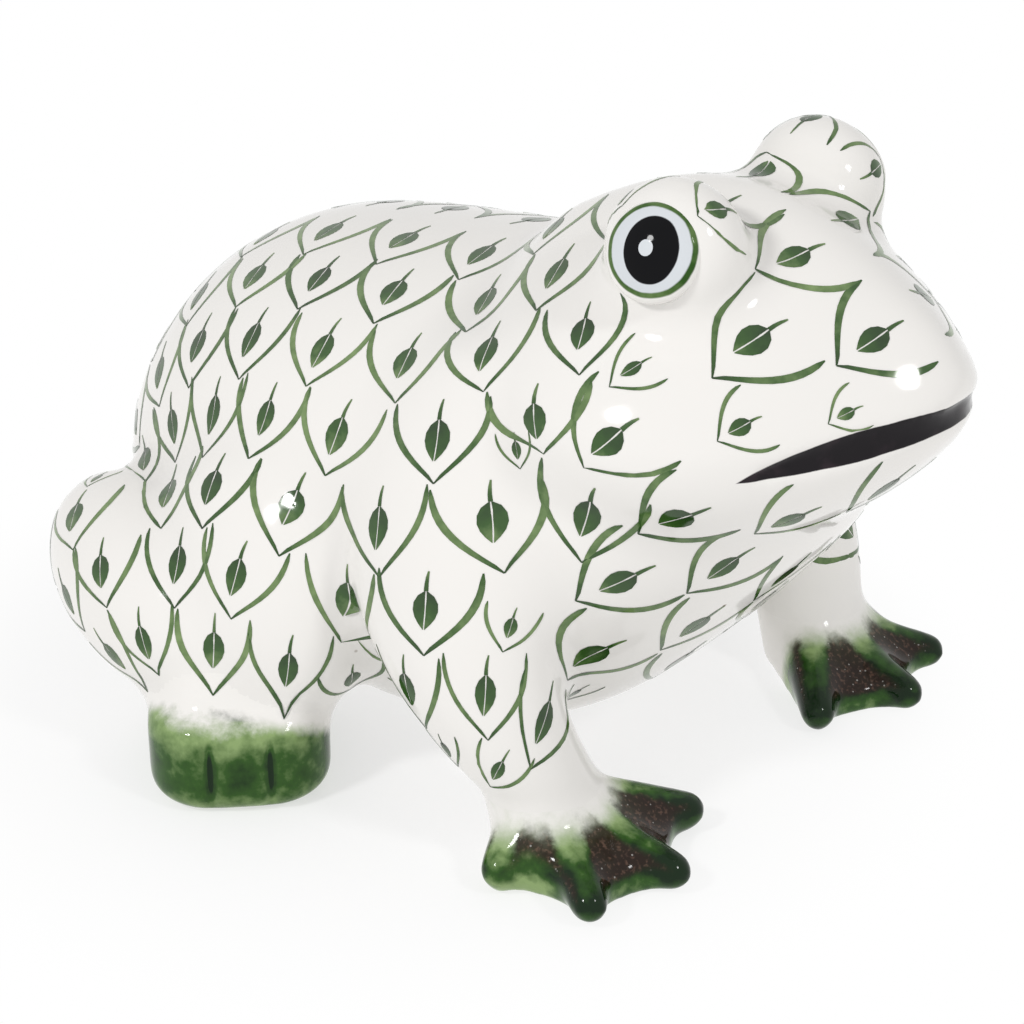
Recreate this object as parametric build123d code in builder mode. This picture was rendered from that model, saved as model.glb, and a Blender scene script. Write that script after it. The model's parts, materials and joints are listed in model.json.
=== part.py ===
"""Sitting frog figurine: hollow ceramic castings, stuck together with slip and glazed.

Frame: +X towards the nose, +Y towards the frog's left side, +Z up, in millimetres.
The origin lies on the surface that the frog stands on, under the middle of its length and width.
Every casting on a side is made for the right side (-Y) and mirrored for the left.
"""

import os
from collections import namedtuple

from build123d import *

# Castings
wall = 5.0  # wall of the hollow torso and head
vent_diameter = 3.0  # kiln vents through the belly and through the neck
slip = 0.1  # layer of slip between two castings

# Torso, an egg that leans forward
torso_rear = -83.0  # X of the rump
torso_length = 147.5
torso_width = 95.0
belly_clearance = 6.5  # belly above the ground
torso_height = 81.5  # belly to back
torso_fullness = 0.55  # of its upper side
belly_vent_along = 0.427  # places along the torso are shares of its length ahead of the rump
neck_vent_along = 0.807

# Head, a blunt wedge that leans out over the chest
head_along = 0.5831  # nape, inside the torso
head_length = 80.0
head_width = 82.0
chin_drop = 39.0  # chin below the top of the back
head_height = 57.5  # chin to crown
head_fullness = 0.30  # of its upper side, from 0 for a flat slope; an ellipse has 0.55

# Eye mounds on the crown and the eye buttons on their outer sides
mound_setback = 40.2  # middle of a mound behind the tip of the snout
mound_inset = 21.5  # middle of a mound inside the widest line of the head
mound_sink = 5.5  # middle of a mound below the crown
mound_length = 24.0
mound_width = 20.0
mound_depth = 24.0
eye_diameter = 15.4
eye_proud = 1.2  # middle of the button above its mound
eye_dome_radius = 12.0
eye_yaw = 9.0  # turn of the eye towards the nose, in degrees
eye_pitch = 21.0  # turn of the eye upwards, in degrees

# Mouth, a shallow groove round the snout
mouth_corner_setback = 20.0  # behind the tip of the snout
mouth_corner_rise = 0.409  # above the chin, as a share of the head's height
mouth_front_setback = 2.0
mouth_front_rise = 0.513
mouth_gap = 4.4  # opening of the groove at the front
mouth_arch = 1.6  # how far the upper lip bows up between corner and front
mouth_sag = 0.6  # how far the lower lip bows down between corner and front
mouth_depth = 1.6

# Haunch, the thigh that swells out of the flank
haunch_along = 0.407
haunch_sink = 4.0  # middle of the haunch inside the widest line of the torso
haunch_z = 34.5
haunch_length = 48.0
haunch_thickness = 32.0
haunch_depth = 54.0
haunch_lean = 18.0  # lean of its top towards the torso, in degrees

# Shank, the folded lower leg that shows as a lump behind the haunch
shank_along = 0.264
shank_sink = -1.5
shank_z = 27.0
shank_length = 58.0
shank_thickness = 33.0
shank_depth = 34.0
shank_rake = 9.0  # front end lower than its rear end, in degrees
shank_splay = 14.0  # rear end further out than its front end, in degrees

# Hind foot, a thick rounded block with scored toes
hind_foot_along = 0.4
hind_foot_sink = -4.5
hind_foot_length = 36.0
hind_foot_width = 31.0
hind_foot_height = 17.0
hind_foot_corner = 11.0
hind_foot_splay = 45.0  # heading away from straight ahead, in degrees
hind_foot_round = 4.0  # rounding of the edges of its sole and top
instep_length = 22.0
instep_width = 20.0
instep_setback = 9.0  # middle of the instep's top behind the middle of the foot
instep_height = 34.0
toe_score_width = 1.6
toe_score_depth = 1.4
hind_toes = 3

# Fore leg, from the shoulder inside the torso down to the wrist
wrist_along = 0.79
wrist_stance = 80.0  # between the middles of the two wrists
wrist_height = 13.0
wrist_diameter = 20.0
heel_diameter = 15.0  # of the fore foot on the ground

# Fore foot, a web on four splayed toes
toe_radius = 3.4
toe_height = 9.4  # middle of a toe's root above the ground
toe_lengths = (17.6, 26.0, 27.8, 28.5)  # wrist to toe tip, outer toe first
toe_headings = (-80.0, -32.0, 9.0, 52.0)  # away from straight ahead, inwards is positive, in degrees
toe_root_radii = (6.5, 3.6, 3.6, 6.0)  # where the toes leave the wrist
web_thickness = 4.8
web_notch = 1.4  # how far the web's edge draws back between the tips of two toes
flare_sag = 2.3  # hollow of the slope from the wrist down to the web's edge
toe_flat = 0.6  # how much of a toe's underside is flat on the ground

half_width = torso_width / 2
back_height = belly_clearance + torso_height
head_rear = torso_rear + head_along * torso_length
snout_x = head_rear + head_length
chin_height = back_height - chin_drop
mound_x = snout_x - mound_setback
mound_y = mound_inset - head_width / 2
mound_height = chin_height + head_height - mound_sink

Station = namedtuple("Station", "along width flat bottom widest top")
"""A cross-section of an egg form, in shares of the form's length, width and height.

The flat is the level strip along its underside, as a share of its own width.
"""

TORSO_FORM = (
    Station(0.018, 0.31, 0.2, 0.24, 0.37, 0.52),
    Station(0.067, 0.58, 0.3, 0.14, 0.38, 0.69),
    Station(0.161, 0.82, 0.4, 0.05, 0.40, 0.86),
    Station(0.310, 0.97, 0.4, 0.01, 0.43, 0.955),
    Station(0.500, 1.00, 0.4, 0.00, 0.47, 0.995),
    Station(0.675, 0.96, 0.3, 0.03, 0.53, 1.00),
    Station(0.810, 0.86, 0.2, 0.18, 0.62, 0.95),
    Station(0.915, 0.63, 0.1, 0.39, 0.66, 0.88),
    Station(0.978, 0.34, 0.1, 0.53, 0.66, 0.80),
)
TORSO_TIPS = (0.38, 0.65)

HEAD_FORM = (
    Station(0.05, 0.44, 0.1, 0.42, 0.63, 0.79),
    Station(0.14, 0.73, 0.1, 0.21, 0.56, 0.87),
    Station(0.31, 0.97, 0.1, 0.04, 0.47, 0.97),
    Station(0.50, 1.00, 0.1, 0.00, 0.44, 1.00),
    Station(0.67, 0.88, 0.1, 0.07, 0.45, 0.94),
    Station(0.82, 0.62, 0.1, 0.19, 0.47, 0.83),
    Station(0.92, 0.38, 0.1, 0.32, 0.50, 0.74),
    Station(0.97, 0.22, 0.1, 0.41, 0.54, 0.67),
)
HEAD_TIPS = (0.63, 0.57)

LegStation = namedtuple("LegStation", "along sink rise length thickness")
"""A level section of the right fore leg, its middle a sink inside the widest line of the torso.

The rise is a share of the way from the wrist up to the back.
"""

LEG_FORM = (
    LegStation(0.719, 22.0, 0.920, 34.0, 20.0),
    LegStation(0.644, 11.0, 0.647, 38.0, 20.0),
    LegStation(0.675, 5.0, 0.373, 36.0, 24.0),
    LegStation(0.732, 4.0, 0.173, 28.0, 23.0),
    LegStation(wrist_along, half_width - wrist_stance / 2, 0.0, wrist_diameter, wrist_diameter),
)


def torso_x(along):
    """X of a place along the torso."""
    return torso_rear + along * torso_length


def egg_section(x, half, flat, bottom, widest, top, fullness):
    """Face across the body: a roof above the widest line, two quarter ellipses and a flat below it."""
    flank = half - flat
    eaves = widest + fullness * (top - widest)
    with BuildSketch(Plane.YZ.offset(x)) as section:
        with BuildLine():
            Bezier((half, widest), (half, eaves), (fullness * half, top), (0, top))
            Bezier((0, top), (-fullness * half, top), (-half, eaves), (-half, widest))
            EllipticalCenterArc((-flat, widest), flank, widest - bottom, 180, arc_size=90)
            Line((-flat, bottom), (flat, bottom))
            EllipticalCenterArc((flat, widest), flank, widest - bottom, 270, arc_size=90)
        make_face()
    return section.sketch


def egg_form(rear, length, width, base, height, form, tips, fullness, inset=0.0):
    """Egg lofted through its stations; a positive inset gives the hollow inside a wall that thick."""
    rear_tip = (rear + inset, 0, base + tips[0] * height)
    front_tip = (rear + length - inset, 0, base + tips[1] * height)
    sections = [Vertex(*rear_tip)]
    for station in form:
        half = station.width * width / 2 - inset
        x = rear + station.along * length
        if half > inset and rear_tip[0] < x < front_tip[0]:
            sections.append(
                egg_section(
                    x,
                    half,
                    half * station.flat,
                    base + station.bottom * height + inset,
                    base + station.widest * height,
                    base + station.top * height - inset,
                    fullness,
                )
            )
    sections.append(Vertex(*front_tip))
    with BuildPart() as egg:
        loft(sections)
    return egg.part


def torso_form(inset=0.0):
    """Outer form of the torso, or the hollow inside it."""
    return egg_form(
        torso_rear,
        torso_length,
        torso_width,
        belly_clearance,
        torso_height,
        TORSO_FORM,
        TORSO_TIPS,
        torso_fullness,
        inset,
    )


def head_form(inset=0.0):
    """Outer form of the head without its mounds, or a smaller form inside it."""
    return egg_form(
        head_rear,
        head_length,
        head_width,
        chin_height,
        head_height,
        HEAD_FORM,
        HEAD_TIPS,
        head_fullness,
        inset,
    )


def ellipsoid(place, length, thickness, depth):
    """Ball squashed to three diameters and set at a place."""
    with BuildPart() as ball:
        Sphere(0.5)
        scale(by=(length, thickness, depth))
    return place * ball.part


def mound_form(grown=0.0):
    """Right eye mound, grown by a layer for the seat of the eye."""
    place = Location((mound_x, mound_y, mound_height))
    layers = 2 * grown
    return ellipsoid(place, mound_length + layers, mound_width + layers, mound_depth + layers)


def haunch_form(grown=0.0):
    """Right haunch before it is trimmed, grown by a layer for the seats of its neighbours."""
    place = Location((torso_x(haunch_along), haunch_sink - half_width, haunch_z), (-haunch_lean, 0, 0))
    layers = 2 * grown
    return ellipsoid(place, haunch_length + layers, haunch_thickness + layers, haunch_depth + layers)


def shank_form(grown=0.0):
    """Right shank before it is trimmed, grown by a layer for the seat of the hind foot."""
    place = Location((torso_x(shank_along), shank_sink - half_width, shank_z), (0, shank_rake, -shank_splay))
    layers = 2 * grown
    return ellipsoid(place, shank_length + layers, shank_thickness + layers, shank_depth + layers)


def fore_leg_form(grown=0.0):
    """Right fore leg before it is trimmed, grown by a layer for the seat of the haunch."""
    sections = []
    for station in LEG_FORM:
        height = wrist_height + station.rise * (back_height - wrist_height)
        with BuildSketch(Plane((torso_x(station.along), station.sink - half_width, height))) as section:
            Ellipse(station.length / 2 + grown, station.thickness / 2 + grown)
        sections.append(section.sketch)
    with BuildPart() as leg:
        loft(sections)
    return leg.part


# The outer forms of torso and head, and the same with a layer of slip on them
torso_outer = torso_form()
torso_seat = torso_form(-slip)
head_outer = head_form()
head_seat = head_form(-slip)
right_mound = mound_form()

with BuildPart() as torso_shell:
    add(torso_outer)
    add(torso_form(wall), mode=Mode.SUBTRACT)
    with Locations((torso_x(belly_vent_along), 0, belly_clearance)):
        Cylinder(vent_diameter / 2, 4 * wall, mode=Mode.SUBTRACT)
    with Locations((torso_x(neck_vent_along), 0, back_height)):
        Cylinder(vent_diameter / 2, 4 * wall, mode=Mode.SUBTRACT)

with BuildPart() as mouth_groove:
    with BuildSketch(Plane.XZ):
        corner = (snout_x - mouth_corner_setback, chin_height + mouth_corner_rise * head_height)
        front = (snout_x - mouth_front_setback, chin_height + mouth_front_rise * head_height)
        lip_middle_x = (corner[0] + front[0]) / 2
        lip_middle = (corner[1] + front[1]) / 2
        upper_front = (front[0], front[1] + mouth_gap / 2)
        lower_front = (front[0], front[1] - mouth_gap / 2)
        upper_end = (front[0] + wall, upper_front[1])
        lower_end = (front[0] + wall, lower_front[1])
        with BuildLine():
            ThreePointArc(corner, (lip_middle_x, lip_middle + mouth_gap / 4 + mouth_arch), upper_front)
            Polyline(upper_front, upper_end, lower_end, lower_front)
            ThreePointArc(lower_front, (lip_middle_x, lip_middle - mouth_gap / 4 - mouth_sag), corner)
        make_face()
    extrude(amount=head_width / 2, both=True)
    add(head_form(mouth_depth), mode=Mode.SUBTRACT)

with BuildPart() as head_hollow:
    add(head_form(wall))
    add(torso_form(-wall), mode=Mode.SUBTRACT)

with BuildPart() as head_shell:
    add(head_outer)
    add(right_mound)
    mirror(right_mound, about=Plane.XZ)
    add(torso_seat, mode=Mode.SUBTRACT)
    add(head_hollow.part, mode=Mode.SUBTRACT)
    add(mouth_groove.part, mode=Mode.SUBTRACT)
    with Locations((torso_x(neck_vent_along), 0, back_height)):
        Cylinder(vent_diameter / 2, 4 * wall, mode=Mode.SUBTRACT)

# The eye looks along its own axis from the middle of its mound
eye_axis = Vector(0, -1, 0).rotate(Axis.X, -eye_pitch).rotate(Axis.Z, eye_yaw)
mound_radii = (mound_length / 2, mound_width / 2, mound_depth / 2)
mound_reach = sum((part / radius) ** 2 for part, radius in zip(eye_axis, mound_radii)) ** -0.5
eye_apex = mound_reach + eye_proud
eye_plane = Plane((mound_x, mound_y, mound_height), z_dir=eye_axis)

with BuildPart() as right_eye:
    with Locations(eye_plane.offset(eye_apex - eye_dome_radius)):
        Sphere(eye_dome_radius)
    with Locations(eye_plane):
        Cylinder(
            eye_diameter / 2,
            eye_apex + eye_proud,
            align=(Align.CENTER, Align.CENTER, Align.MIN),
            mode=Mode.INTERSECT,
        )
    add(mound_form(slip), mode=Mode.SUBTRACT)
    add(head_seat, mode=Mode.SUBTRACT)

with BuildPart() as right_fore_leg:
    add(fore_leg_form())
    add(torso_seat, mode=Mode.SUBTRACT)
    add(head_seat, mode=Mode.SUBTRACT)

with BuildPart() as right_haunch:
    add(haunch_form())
    add(torso_seat, mode=Mode.SUBTRACT)
    add(fore_leg_form(slip), mode=Mode.SUBTRACT)

haunch_seat = haunch_form(slip)

with BuildPart() as right_shank:
    add(shank_form())
    add(torso_seat, mode=Mode.SUBTRACT)
    add(haunch_seat, mode=Mode.SUBTRACT)

hind_foot_plane = Plane(
    (torso_x(hind_foot_along), hind_foot_sink - half_width, 0),
    x_dir=Vector(1, 0, 0).rotate(Axis.Z, -hind_foot_splay),
)

with BuildPart() as right_hind_foot:
    with BuildSketch(hind_foot_plane):
        RectangleRounded(hind_foot_length, hind_foot_width, hind_foot_corner)
    extrude(amount=hind_foot_height)
    fillet(edges().group_by(Axis.Z)[0], hind_foot_round)
    fillet(edges().group_by(Axis.Z)[-1], hind_foot_round)
    with BuildSketch(hind_foot_plane):
        for toe in range(1, hind_toes):
            with Locations((hind_foot_length / 2, hind_foot_width * (toe / hind_toes - 1 / 2))):
                Rectangle(2 * toe_score_depth, toe_score_width)
    extrude(amount=hind_foot_height, mode=Mode.SUBTRACT)
    with BuildSketch(hind_foot_plane.offset(hind_foot_height)):
        RectangleRounded(
            hind_foot_length - 2 * hind_foot_round,
            hind_foot_width - 2 * hind_foot_round,
            hind_foot_corner - hind_foot_round,
        )
    with BuildSketch(hind_foot_plane.offset(instep_height)):
        with Locations((-instep_setback, 0)):
            RectangleRounded(instep_length, instep_width, hind_foot_corner - hind_foot_round)
    loft()
    add(torso_seat, mode=Mode.SUBTRACT)
    add(haunch_seat, mode=Mode.SUBTRACT)
    add(shank_form(slip), mode=Mode.SUBTRACT)

wrist = Vector(torso_x(wrist_along), -wrist_stance / 2, 0)
toe_tips = []
toe_directions = []
for toe_length, heading in zip(toe_lengths, toe_headings):
    direction = Vector(1, 0, 0).rotate(Axis.Z, heading)
    toe_directions.append(direction)
    toe_tips.append(wrist + direction * (toe_length - toe_radius))

# The sides of the foot run straight from the heel to the outermost and the innermost toe
foot_sides = []
for tip in (toe_tips[0], toe_tips[-1]):
    with BuildSketch() as foot_side:
        with Locations(wrist):
            Circle(heel_diameter / 2)
        with Locations(tip):
            Circle(toe_radius / 2)
        make_hull()
    foot_sides.append(foot_side.sketch)

with BuildPart() as right_fore_foot:
    with BuildSketch():
        with BuildLine():
            Line(wrist, toe_tips[0])
            for outer_tip, inner_tip in zip(toe_tips, toe_tips[1:]):
                middle = (outer_tip + inner_tip) / 2
                ThreePointArc(outer_tip, middle + (wrist - middle).normalized() * web_notch, inner_tip)
            Line(toe_tips[-1], wrist)
        make_face()
    extrude(amount=wrist_height)
    with BuildSketch(Plane(wrist, x_dir=(1, 0, 0), z_dir=(0, -1, 0))):
        with BuildLine():
            reach = max(toe_lengths)
            rim = (wrist_diameter / 2, wrist_height)
            edge = (reach, web_thickness)
            sag = ((rim[0] + edge[0]) / 2 - flare_sag, (rim[1] + edge[1]) / 2 - flare_sag)
            Polyline(rim, (0, wrist_height), (0, 0), (reach, 0), edge)
            ThreePointArc(edge, sag, rim)
        make_face()
    revolve(axis=Axis(wrist, (0, 0, 1)), mode=Mode.INTERSECT)
    with BuildSketch():
        add(foot_sides)
    extrude(amount=web_thickness)
    with BuildSketch():
        with Locations(wrist):
            Circle(heel_diameter / 2)
    with BuildSketch(Plane.XY.offset(wrist_height)):
        with Locations(wrist):
            Circle(wrist_diameter / 2)
    loft()
    for direction, toe_length, root_radius in zip(toe_directions, toe_lengths, toe_root_radii):
        root = wrist + Vector(0, 0, toe_height)
        tip = wrist + direction * toe_length + Vector(0, 0, toe_radius - toe_flat)
        toe_axis = (tip - root).normalized()
        length = (tip - root).length
        with BuildSketch(Plane(root, x_dir=toe_axis, z_dir=toe_axis.cross(Vector(0, 0, 1)))):
            with BuildLine():
                Polyline((length, 0), (0, 0), (0, root_radius), (length - toe_radius, toe_radius))
                RadiusArc((length - toe_radius, toe_radius), (length, 0), toe_radius)
            make_face()
        revolve(axis=Axis(root, toe_axis))
    split(bisect_by=Plane.XY, keep=Keep.TOP)
    split(bisect_by=Plane.XY.offset(wrist_height), keep=Keep.BOTTOM)

os.makedirs("parts", exist_ok=True)

for piece, name in ((torso_shell, "torso_shell"), (head_shell, "head_shell")):
    piece.part.label = name
    export_step(piece.part, f"parts/{name}.step")

right_pieces = {
    "eye": right_eye,
    "fore_leg": right_fore_leg,
    "fore_foot": right_fore_foot,
    "haunch": right_haunch,
    "shank": right_shank,
    "hind_foot": right_hind_foot,
}
for name, right in right_pieces.items():
    with BuildPart() as left:
        mirror(right.part, about=Plane.XZ)
    right.part.label = f"right_{name}"
    left.part.label = f"left_{name}"
    export_step(right.part, f"parts/right_{name}.step")
    export_step(left.part, f"parts/left_{name}.step")
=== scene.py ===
"""Looks of a sitting frog figurine: glazed castings, painted scales, painted eyes and a white stage.

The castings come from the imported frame. They are joined into one skin, whose seams are softened as
glaze and slip soften them, and the skin is cut back into one closed piece for each casting. Rows of
painted scales run down over the skin from the spine.
"""

import functools
import heapq
import json
import math
from collections import namedtuple

import bmesh
import bpy
import numpy as np
from bpy.props import FloatProperty, FloatVectorProperty, IntProperty, PointerProperty
from bpy.types import NodeSocket, Operator, Panel, PropertyGroup
from mathutils import Matrix, Vector
from mathutils.bvhtree import BVHTree
from mathutils.kdtree import KDTree

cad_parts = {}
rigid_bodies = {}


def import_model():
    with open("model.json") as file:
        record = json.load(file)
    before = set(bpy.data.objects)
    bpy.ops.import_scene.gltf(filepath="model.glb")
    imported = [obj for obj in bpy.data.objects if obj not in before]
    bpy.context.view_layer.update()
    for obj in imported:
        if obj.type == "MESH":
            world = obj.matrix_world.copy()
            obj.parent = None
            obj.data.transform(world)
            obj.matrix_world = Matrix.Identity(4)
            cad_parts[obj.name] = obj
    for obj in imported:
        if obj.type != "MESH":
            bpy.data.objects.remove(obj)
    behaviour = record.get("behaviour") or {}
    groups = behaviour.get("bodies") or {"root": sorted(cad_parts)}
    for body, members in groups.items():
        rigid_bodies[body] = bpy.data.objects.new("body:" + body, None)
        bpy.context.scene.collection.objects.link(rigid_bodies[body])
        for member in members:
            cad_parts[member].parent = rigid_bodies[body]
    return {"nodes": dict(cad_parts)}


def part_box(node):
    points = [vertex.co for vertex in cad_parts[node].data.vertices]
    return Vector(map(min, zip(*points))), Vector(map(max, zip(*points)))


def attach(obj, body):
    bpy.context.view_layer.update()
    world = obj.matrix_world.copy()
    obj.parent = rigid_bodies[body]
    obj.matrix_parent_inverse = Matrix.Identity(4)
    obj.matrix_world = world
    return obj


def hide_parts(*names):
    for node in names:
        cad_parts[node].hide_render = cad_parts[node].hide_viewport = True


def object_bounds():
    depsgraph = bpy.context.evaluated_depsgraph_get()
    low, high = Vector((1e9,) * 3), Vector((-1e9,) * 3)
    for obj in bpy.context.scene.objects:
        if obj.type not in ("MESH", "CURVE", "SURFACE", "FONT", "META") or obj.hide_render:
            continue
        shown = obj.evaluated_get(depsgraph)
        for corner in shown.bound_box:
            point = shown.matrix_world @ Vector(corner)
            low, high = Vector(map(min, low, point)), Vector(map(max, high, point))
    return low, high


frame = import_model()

bl_info = {
    "name": "Glazed Frog Figurine",
    "version": (1, 0, 0),
    "blender": (4, 5, 0),
    "location": "View3D > Sidebar > Frog",
    "description": "Dresses the castings of a frog figurine with glaze, painted scales and eyes",
    "category": "Object",
}

CAD_BOX = [list(corner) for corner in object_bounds()]
BODY = "root"
MM = 0.001

CASTINGS = sorted(name for name in frame["nodes"] if not name.endswith("_eye"))
FEET = [name for name in CASTINGS if name.endswith("_foot")]
# The side that each eye looks to, along Y
EYES = {"right_eye": -1, "left_eye": 1}
# How far from a seam, in millimetres, slip and glaze round it off, by the casting that they run on to
SEAM_REACH = {
    "torso_shell": 12.0,
    "head_shell": 12.0,
    "fore_leg": 10.0,
    "haunch": 11.0,
    "shank": 4.0,
    "hind_foot": 6.0,
    "fore_foot": 5.0,
}

# Least share of filling away from the seams, where a form has creases that glaze rounds off
HEAD_FILL = 0.85
WEB_FILL = 0.35
HIND_FOOT_FILL = 0.12
# Skin beside the mouth's middle line that is left unfilled, so that its groove stays
MOUTH_ROOM = 6.5 * MM
# Share of a seam's filling that a foot takes
FOOT_SEAM_SHARE = 0.5
# Share of the way to the middle of its neighbours that a point goes in a step of filling or smoothing
SKIN_STEP = 0.5
# Share of a filling step that a point may sink, against the whole step that it may rise
SINK_SHARE = 0.15
# Filling steps from one working out of the normals to the next
NORMALS_EVERY = 5
# Steps of an evening out that neither shrinks nor swells, and its share on feet and mouth
FAIR_STEPS = (0.5, -0.52)
GENTLE_SHARE = 0.35
# Plain smoothing at the end, on the whole skin and on the webbed feet
LAST_STEPS = 3
WEB_LAST_STEPS = 8
# Standing out from the neighbours that counts as a full ridge, and rounds that spread it
FULL_RELIEF = 0.03 * MM
RELIEF_ROUNDS = 4

PAINT_LIFT = 0.12 * MM
# Shares of its full size that a scale may have
SCALE_SHARES = (1.0, 0.85, 0.7, 0.55, 0.45)
# Points on and in a scale's outline, as shares of its half width and of its depth
SCALE_MIDDLE_LINE = ((0, 1.06), (0, 0.1), (0, 0.35), (0, 0.6), (0, 0.85))
SCALE_SIDE = ((1, 0), (0.85, 0.4), (0.4, 0.8), (0.45, 0.2), (0.4, 0.5))
SCALE_OUTLINE = np.array([*SCALE_MIDDLE_LINE, *((side * x, y) for side in (-1, 1) for x, y in SCALE_SIDE)])
# Which of these points is tested first where a spare scale may go
OUTLINE_MIDDLE = 2
# Least and greatest width of a scale, as shares of the scale width
NARROWEST, WIDEST = 0.6, 1.35
# Greatest width of a scale, as a share of the gap on either side of it
GAP_SHARE = 1.15
# Points along a row, ahead and behind, between which its direction is taken
POINTS_AHEAD, POINTS_BEHIND = 4, 3
# How near a scale of the row before has to come, as a share of the row step, to set its neighbours' places
MARK_REACH = 0.55
# Step between tries for a spare scale, as a share of the scale width
SPARE_STEP = 0.3
# Rounds that even out the places along a row, and the distance from the spine
PLACE_ROUNDS = 3
FIELD_ROUNDS = 4
# Half width of the spine in layout grids, and how far its skin faces up
SPINE_GRIDS = 1.5
SPINE_UPWARD = 0.1
# Agreement with the skin from which paint is shaded like it
TOP_OF_PAINT = 0.5
# How far from the mouth's middle line the spine ends
SPINE_END_ROOM = 5 * MM
# Limits of the painted skin: clear of mouth, eyes and ankles, and not on the underside
LIP_ROOM = 3 * MM
EYE_ROOM = 1.2 * MM
ANKLE_HEIGHT = 17 * MM
UNDERSIDE = -0.75
# Least agreement of a scale with the skin's facing and with the way down from the spine
LEAST_FACING = 0.4
LEAST_DESCENT = 0.5
# Fewest points of a line round the body that carries scales
SHORTEST_LOOP = 12

# Height of the ripples in a flowed glaze
RIPPLE_DEPTH = 0.4 * MM
# Specular levels of the glazes
WHITE_SHINE = 0.2
GREEN_SHINE = 0.18
BRUSH_SHINE = 0.5
EYE_SHINE = 0.1


class FrogSizes(PropertyGroup):
    """Sizes of the skin, the face and the brushwork."""

    voxel: FloatProperty(
        name="Skin Grid", description="Spacing of the skin's points", default=0.8 * MM, unit="LENGTH"
    )
    ground_voxel: FloatProperty(
        name="Layout Grid",
        description="Spacing of the points on which the rows of scales are laid out",
        default=2.2 * MM,
        unit="LENGTH",
    )
    seam_rounds: IntProperty(
        name="Seam Rounds", description="How many times the seams are filled a little", default=220
    )
    fair_rounds: IntProperty(
        name="Fairing Rounds", description="How many times the whole skin is evened out", default=24
    )
    vent_x: FloatProperty(
        name="Vent Place",
        description="Kiln vent in the belly, along the body",
        default=-20 * MM,
        unit="LENGTH",
    )
    vent_radius: FloatProperty(
        name="Vent Radius", description="Radius of the kiln vent", default=1.5 * MM, unit="LENGTH"
    )
    casting_wall: FloatProperty(
        name="Wall", description="Wall of the hollow castings", default=5 * MM, unit="LENGTH"
    )
    mouth_corner: FloatVectorProperty(
        name="Mouth Corner",
        description="Corner of the mouth, along the body and above the ground",
        size=2,
        default=(63 * MM, 72.5 * MM),
        unit="LENGTH",
    )
    mouth_front: FloatVectorProperty(
        name="Mouth Front",
        description="Middle of the mouth at the snout, along the body and above the ground",
        size=2,
        default=(81 * MM, 78.5 * MM),
        unit="LENGTH",
    )
    mouth_gap: FloatProperty(
        name="Mouth Gap", description="Opening of the mouth at the snout", default=4.4 * MM, unit="LENGTH"
    )
    mouth_arch: FloatProperty(
        name="Lip Arch", description="Bow of the upper lip", default=1.6 * MM, unit="LENGTH"
    )
    mouth_sag: FloatProperty(
        name="Lip Sag", description="Bow of the lower lip", default=0.6 * MM, unit="LENGTH"
    )
    eye_diameter: FloatProperty(
        name="Eye", description="Diameter of an eye button", default=15.4 * MM, unit="LENGTH"
    )
    eye_dome: FloatProperty(
        name="Eye Dome", description="Radius of an eye's dome", default=12 * MM, unit="LENGTH"
    )
    eye_yaw: FloatProperty(
        name="Eye Yaw", description="Turn of an eye to the nose", default=math.radians(9), subtype="ANGLE"
    )
    eye_pitch: FloatProperty(
        name="Eye Pitch", description="Turn of an eye upwards", default=math.radians(21), subtype="ANGLE"
    )
    eye_depth: FloatProperty(
        name="Eye Depth", description="How far an eye reaches into its mound", default=5 * MM, unit="LENGTH"
    )
    wrist: FloatVectorProperty(
        name="Wrist",
        description="Middle of a wrist, along the body and out from its middle",
        size=2,
        default=(33.5 * MM, 40 * MM),
        unit="LENGTH",
    )
    toe_headings: FloatVectorProperty(
        name="Toe Headings",
        description="Turn of each fore toe outwards from straight ahead",
        size=4,
        default=tuple(math.radians(turn) for turn in (80, 32, -9, -52)),
        subtype="NONE",
    )
    scale_width: FloatProperty(
        name="Scale Width", description="Width of a painted scale", default=17 * MM, unit="LENGTH"
    )
    row_step: FloatProperty(
        name="Row Step",
        description="Distance from one row of scales to the next",
        default=13.5 * MM,
        unit="LENGTH",
    )
    first_row: FloatProperty(
        name="First Row", description="First row of scales, from the spine", default=2.6 * MM, unit="LENGTH"
    )
    spare_gap: FloatProperty(
        name="Spare Gap",
        description="Clear skin around a small scale in a bare spot",
        default=2.4 * MM,
        unit="LENGTH",
    )
    line_width: FloatProperty(
        name="Line Width", description="Width of a brush line", default=1.1 * MM, unit="LENGTH"
    )
    lowest_scale: FloatProperty(
        name="Lowest Scale",
        description="Lowest painted scale above the ground",
        default=21 * MM,
        unit="LENGTH",
    )
    brush_seed: IntProperty(name="Brush Seed", description="Seed of the painter's hand", default=11)


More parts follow.
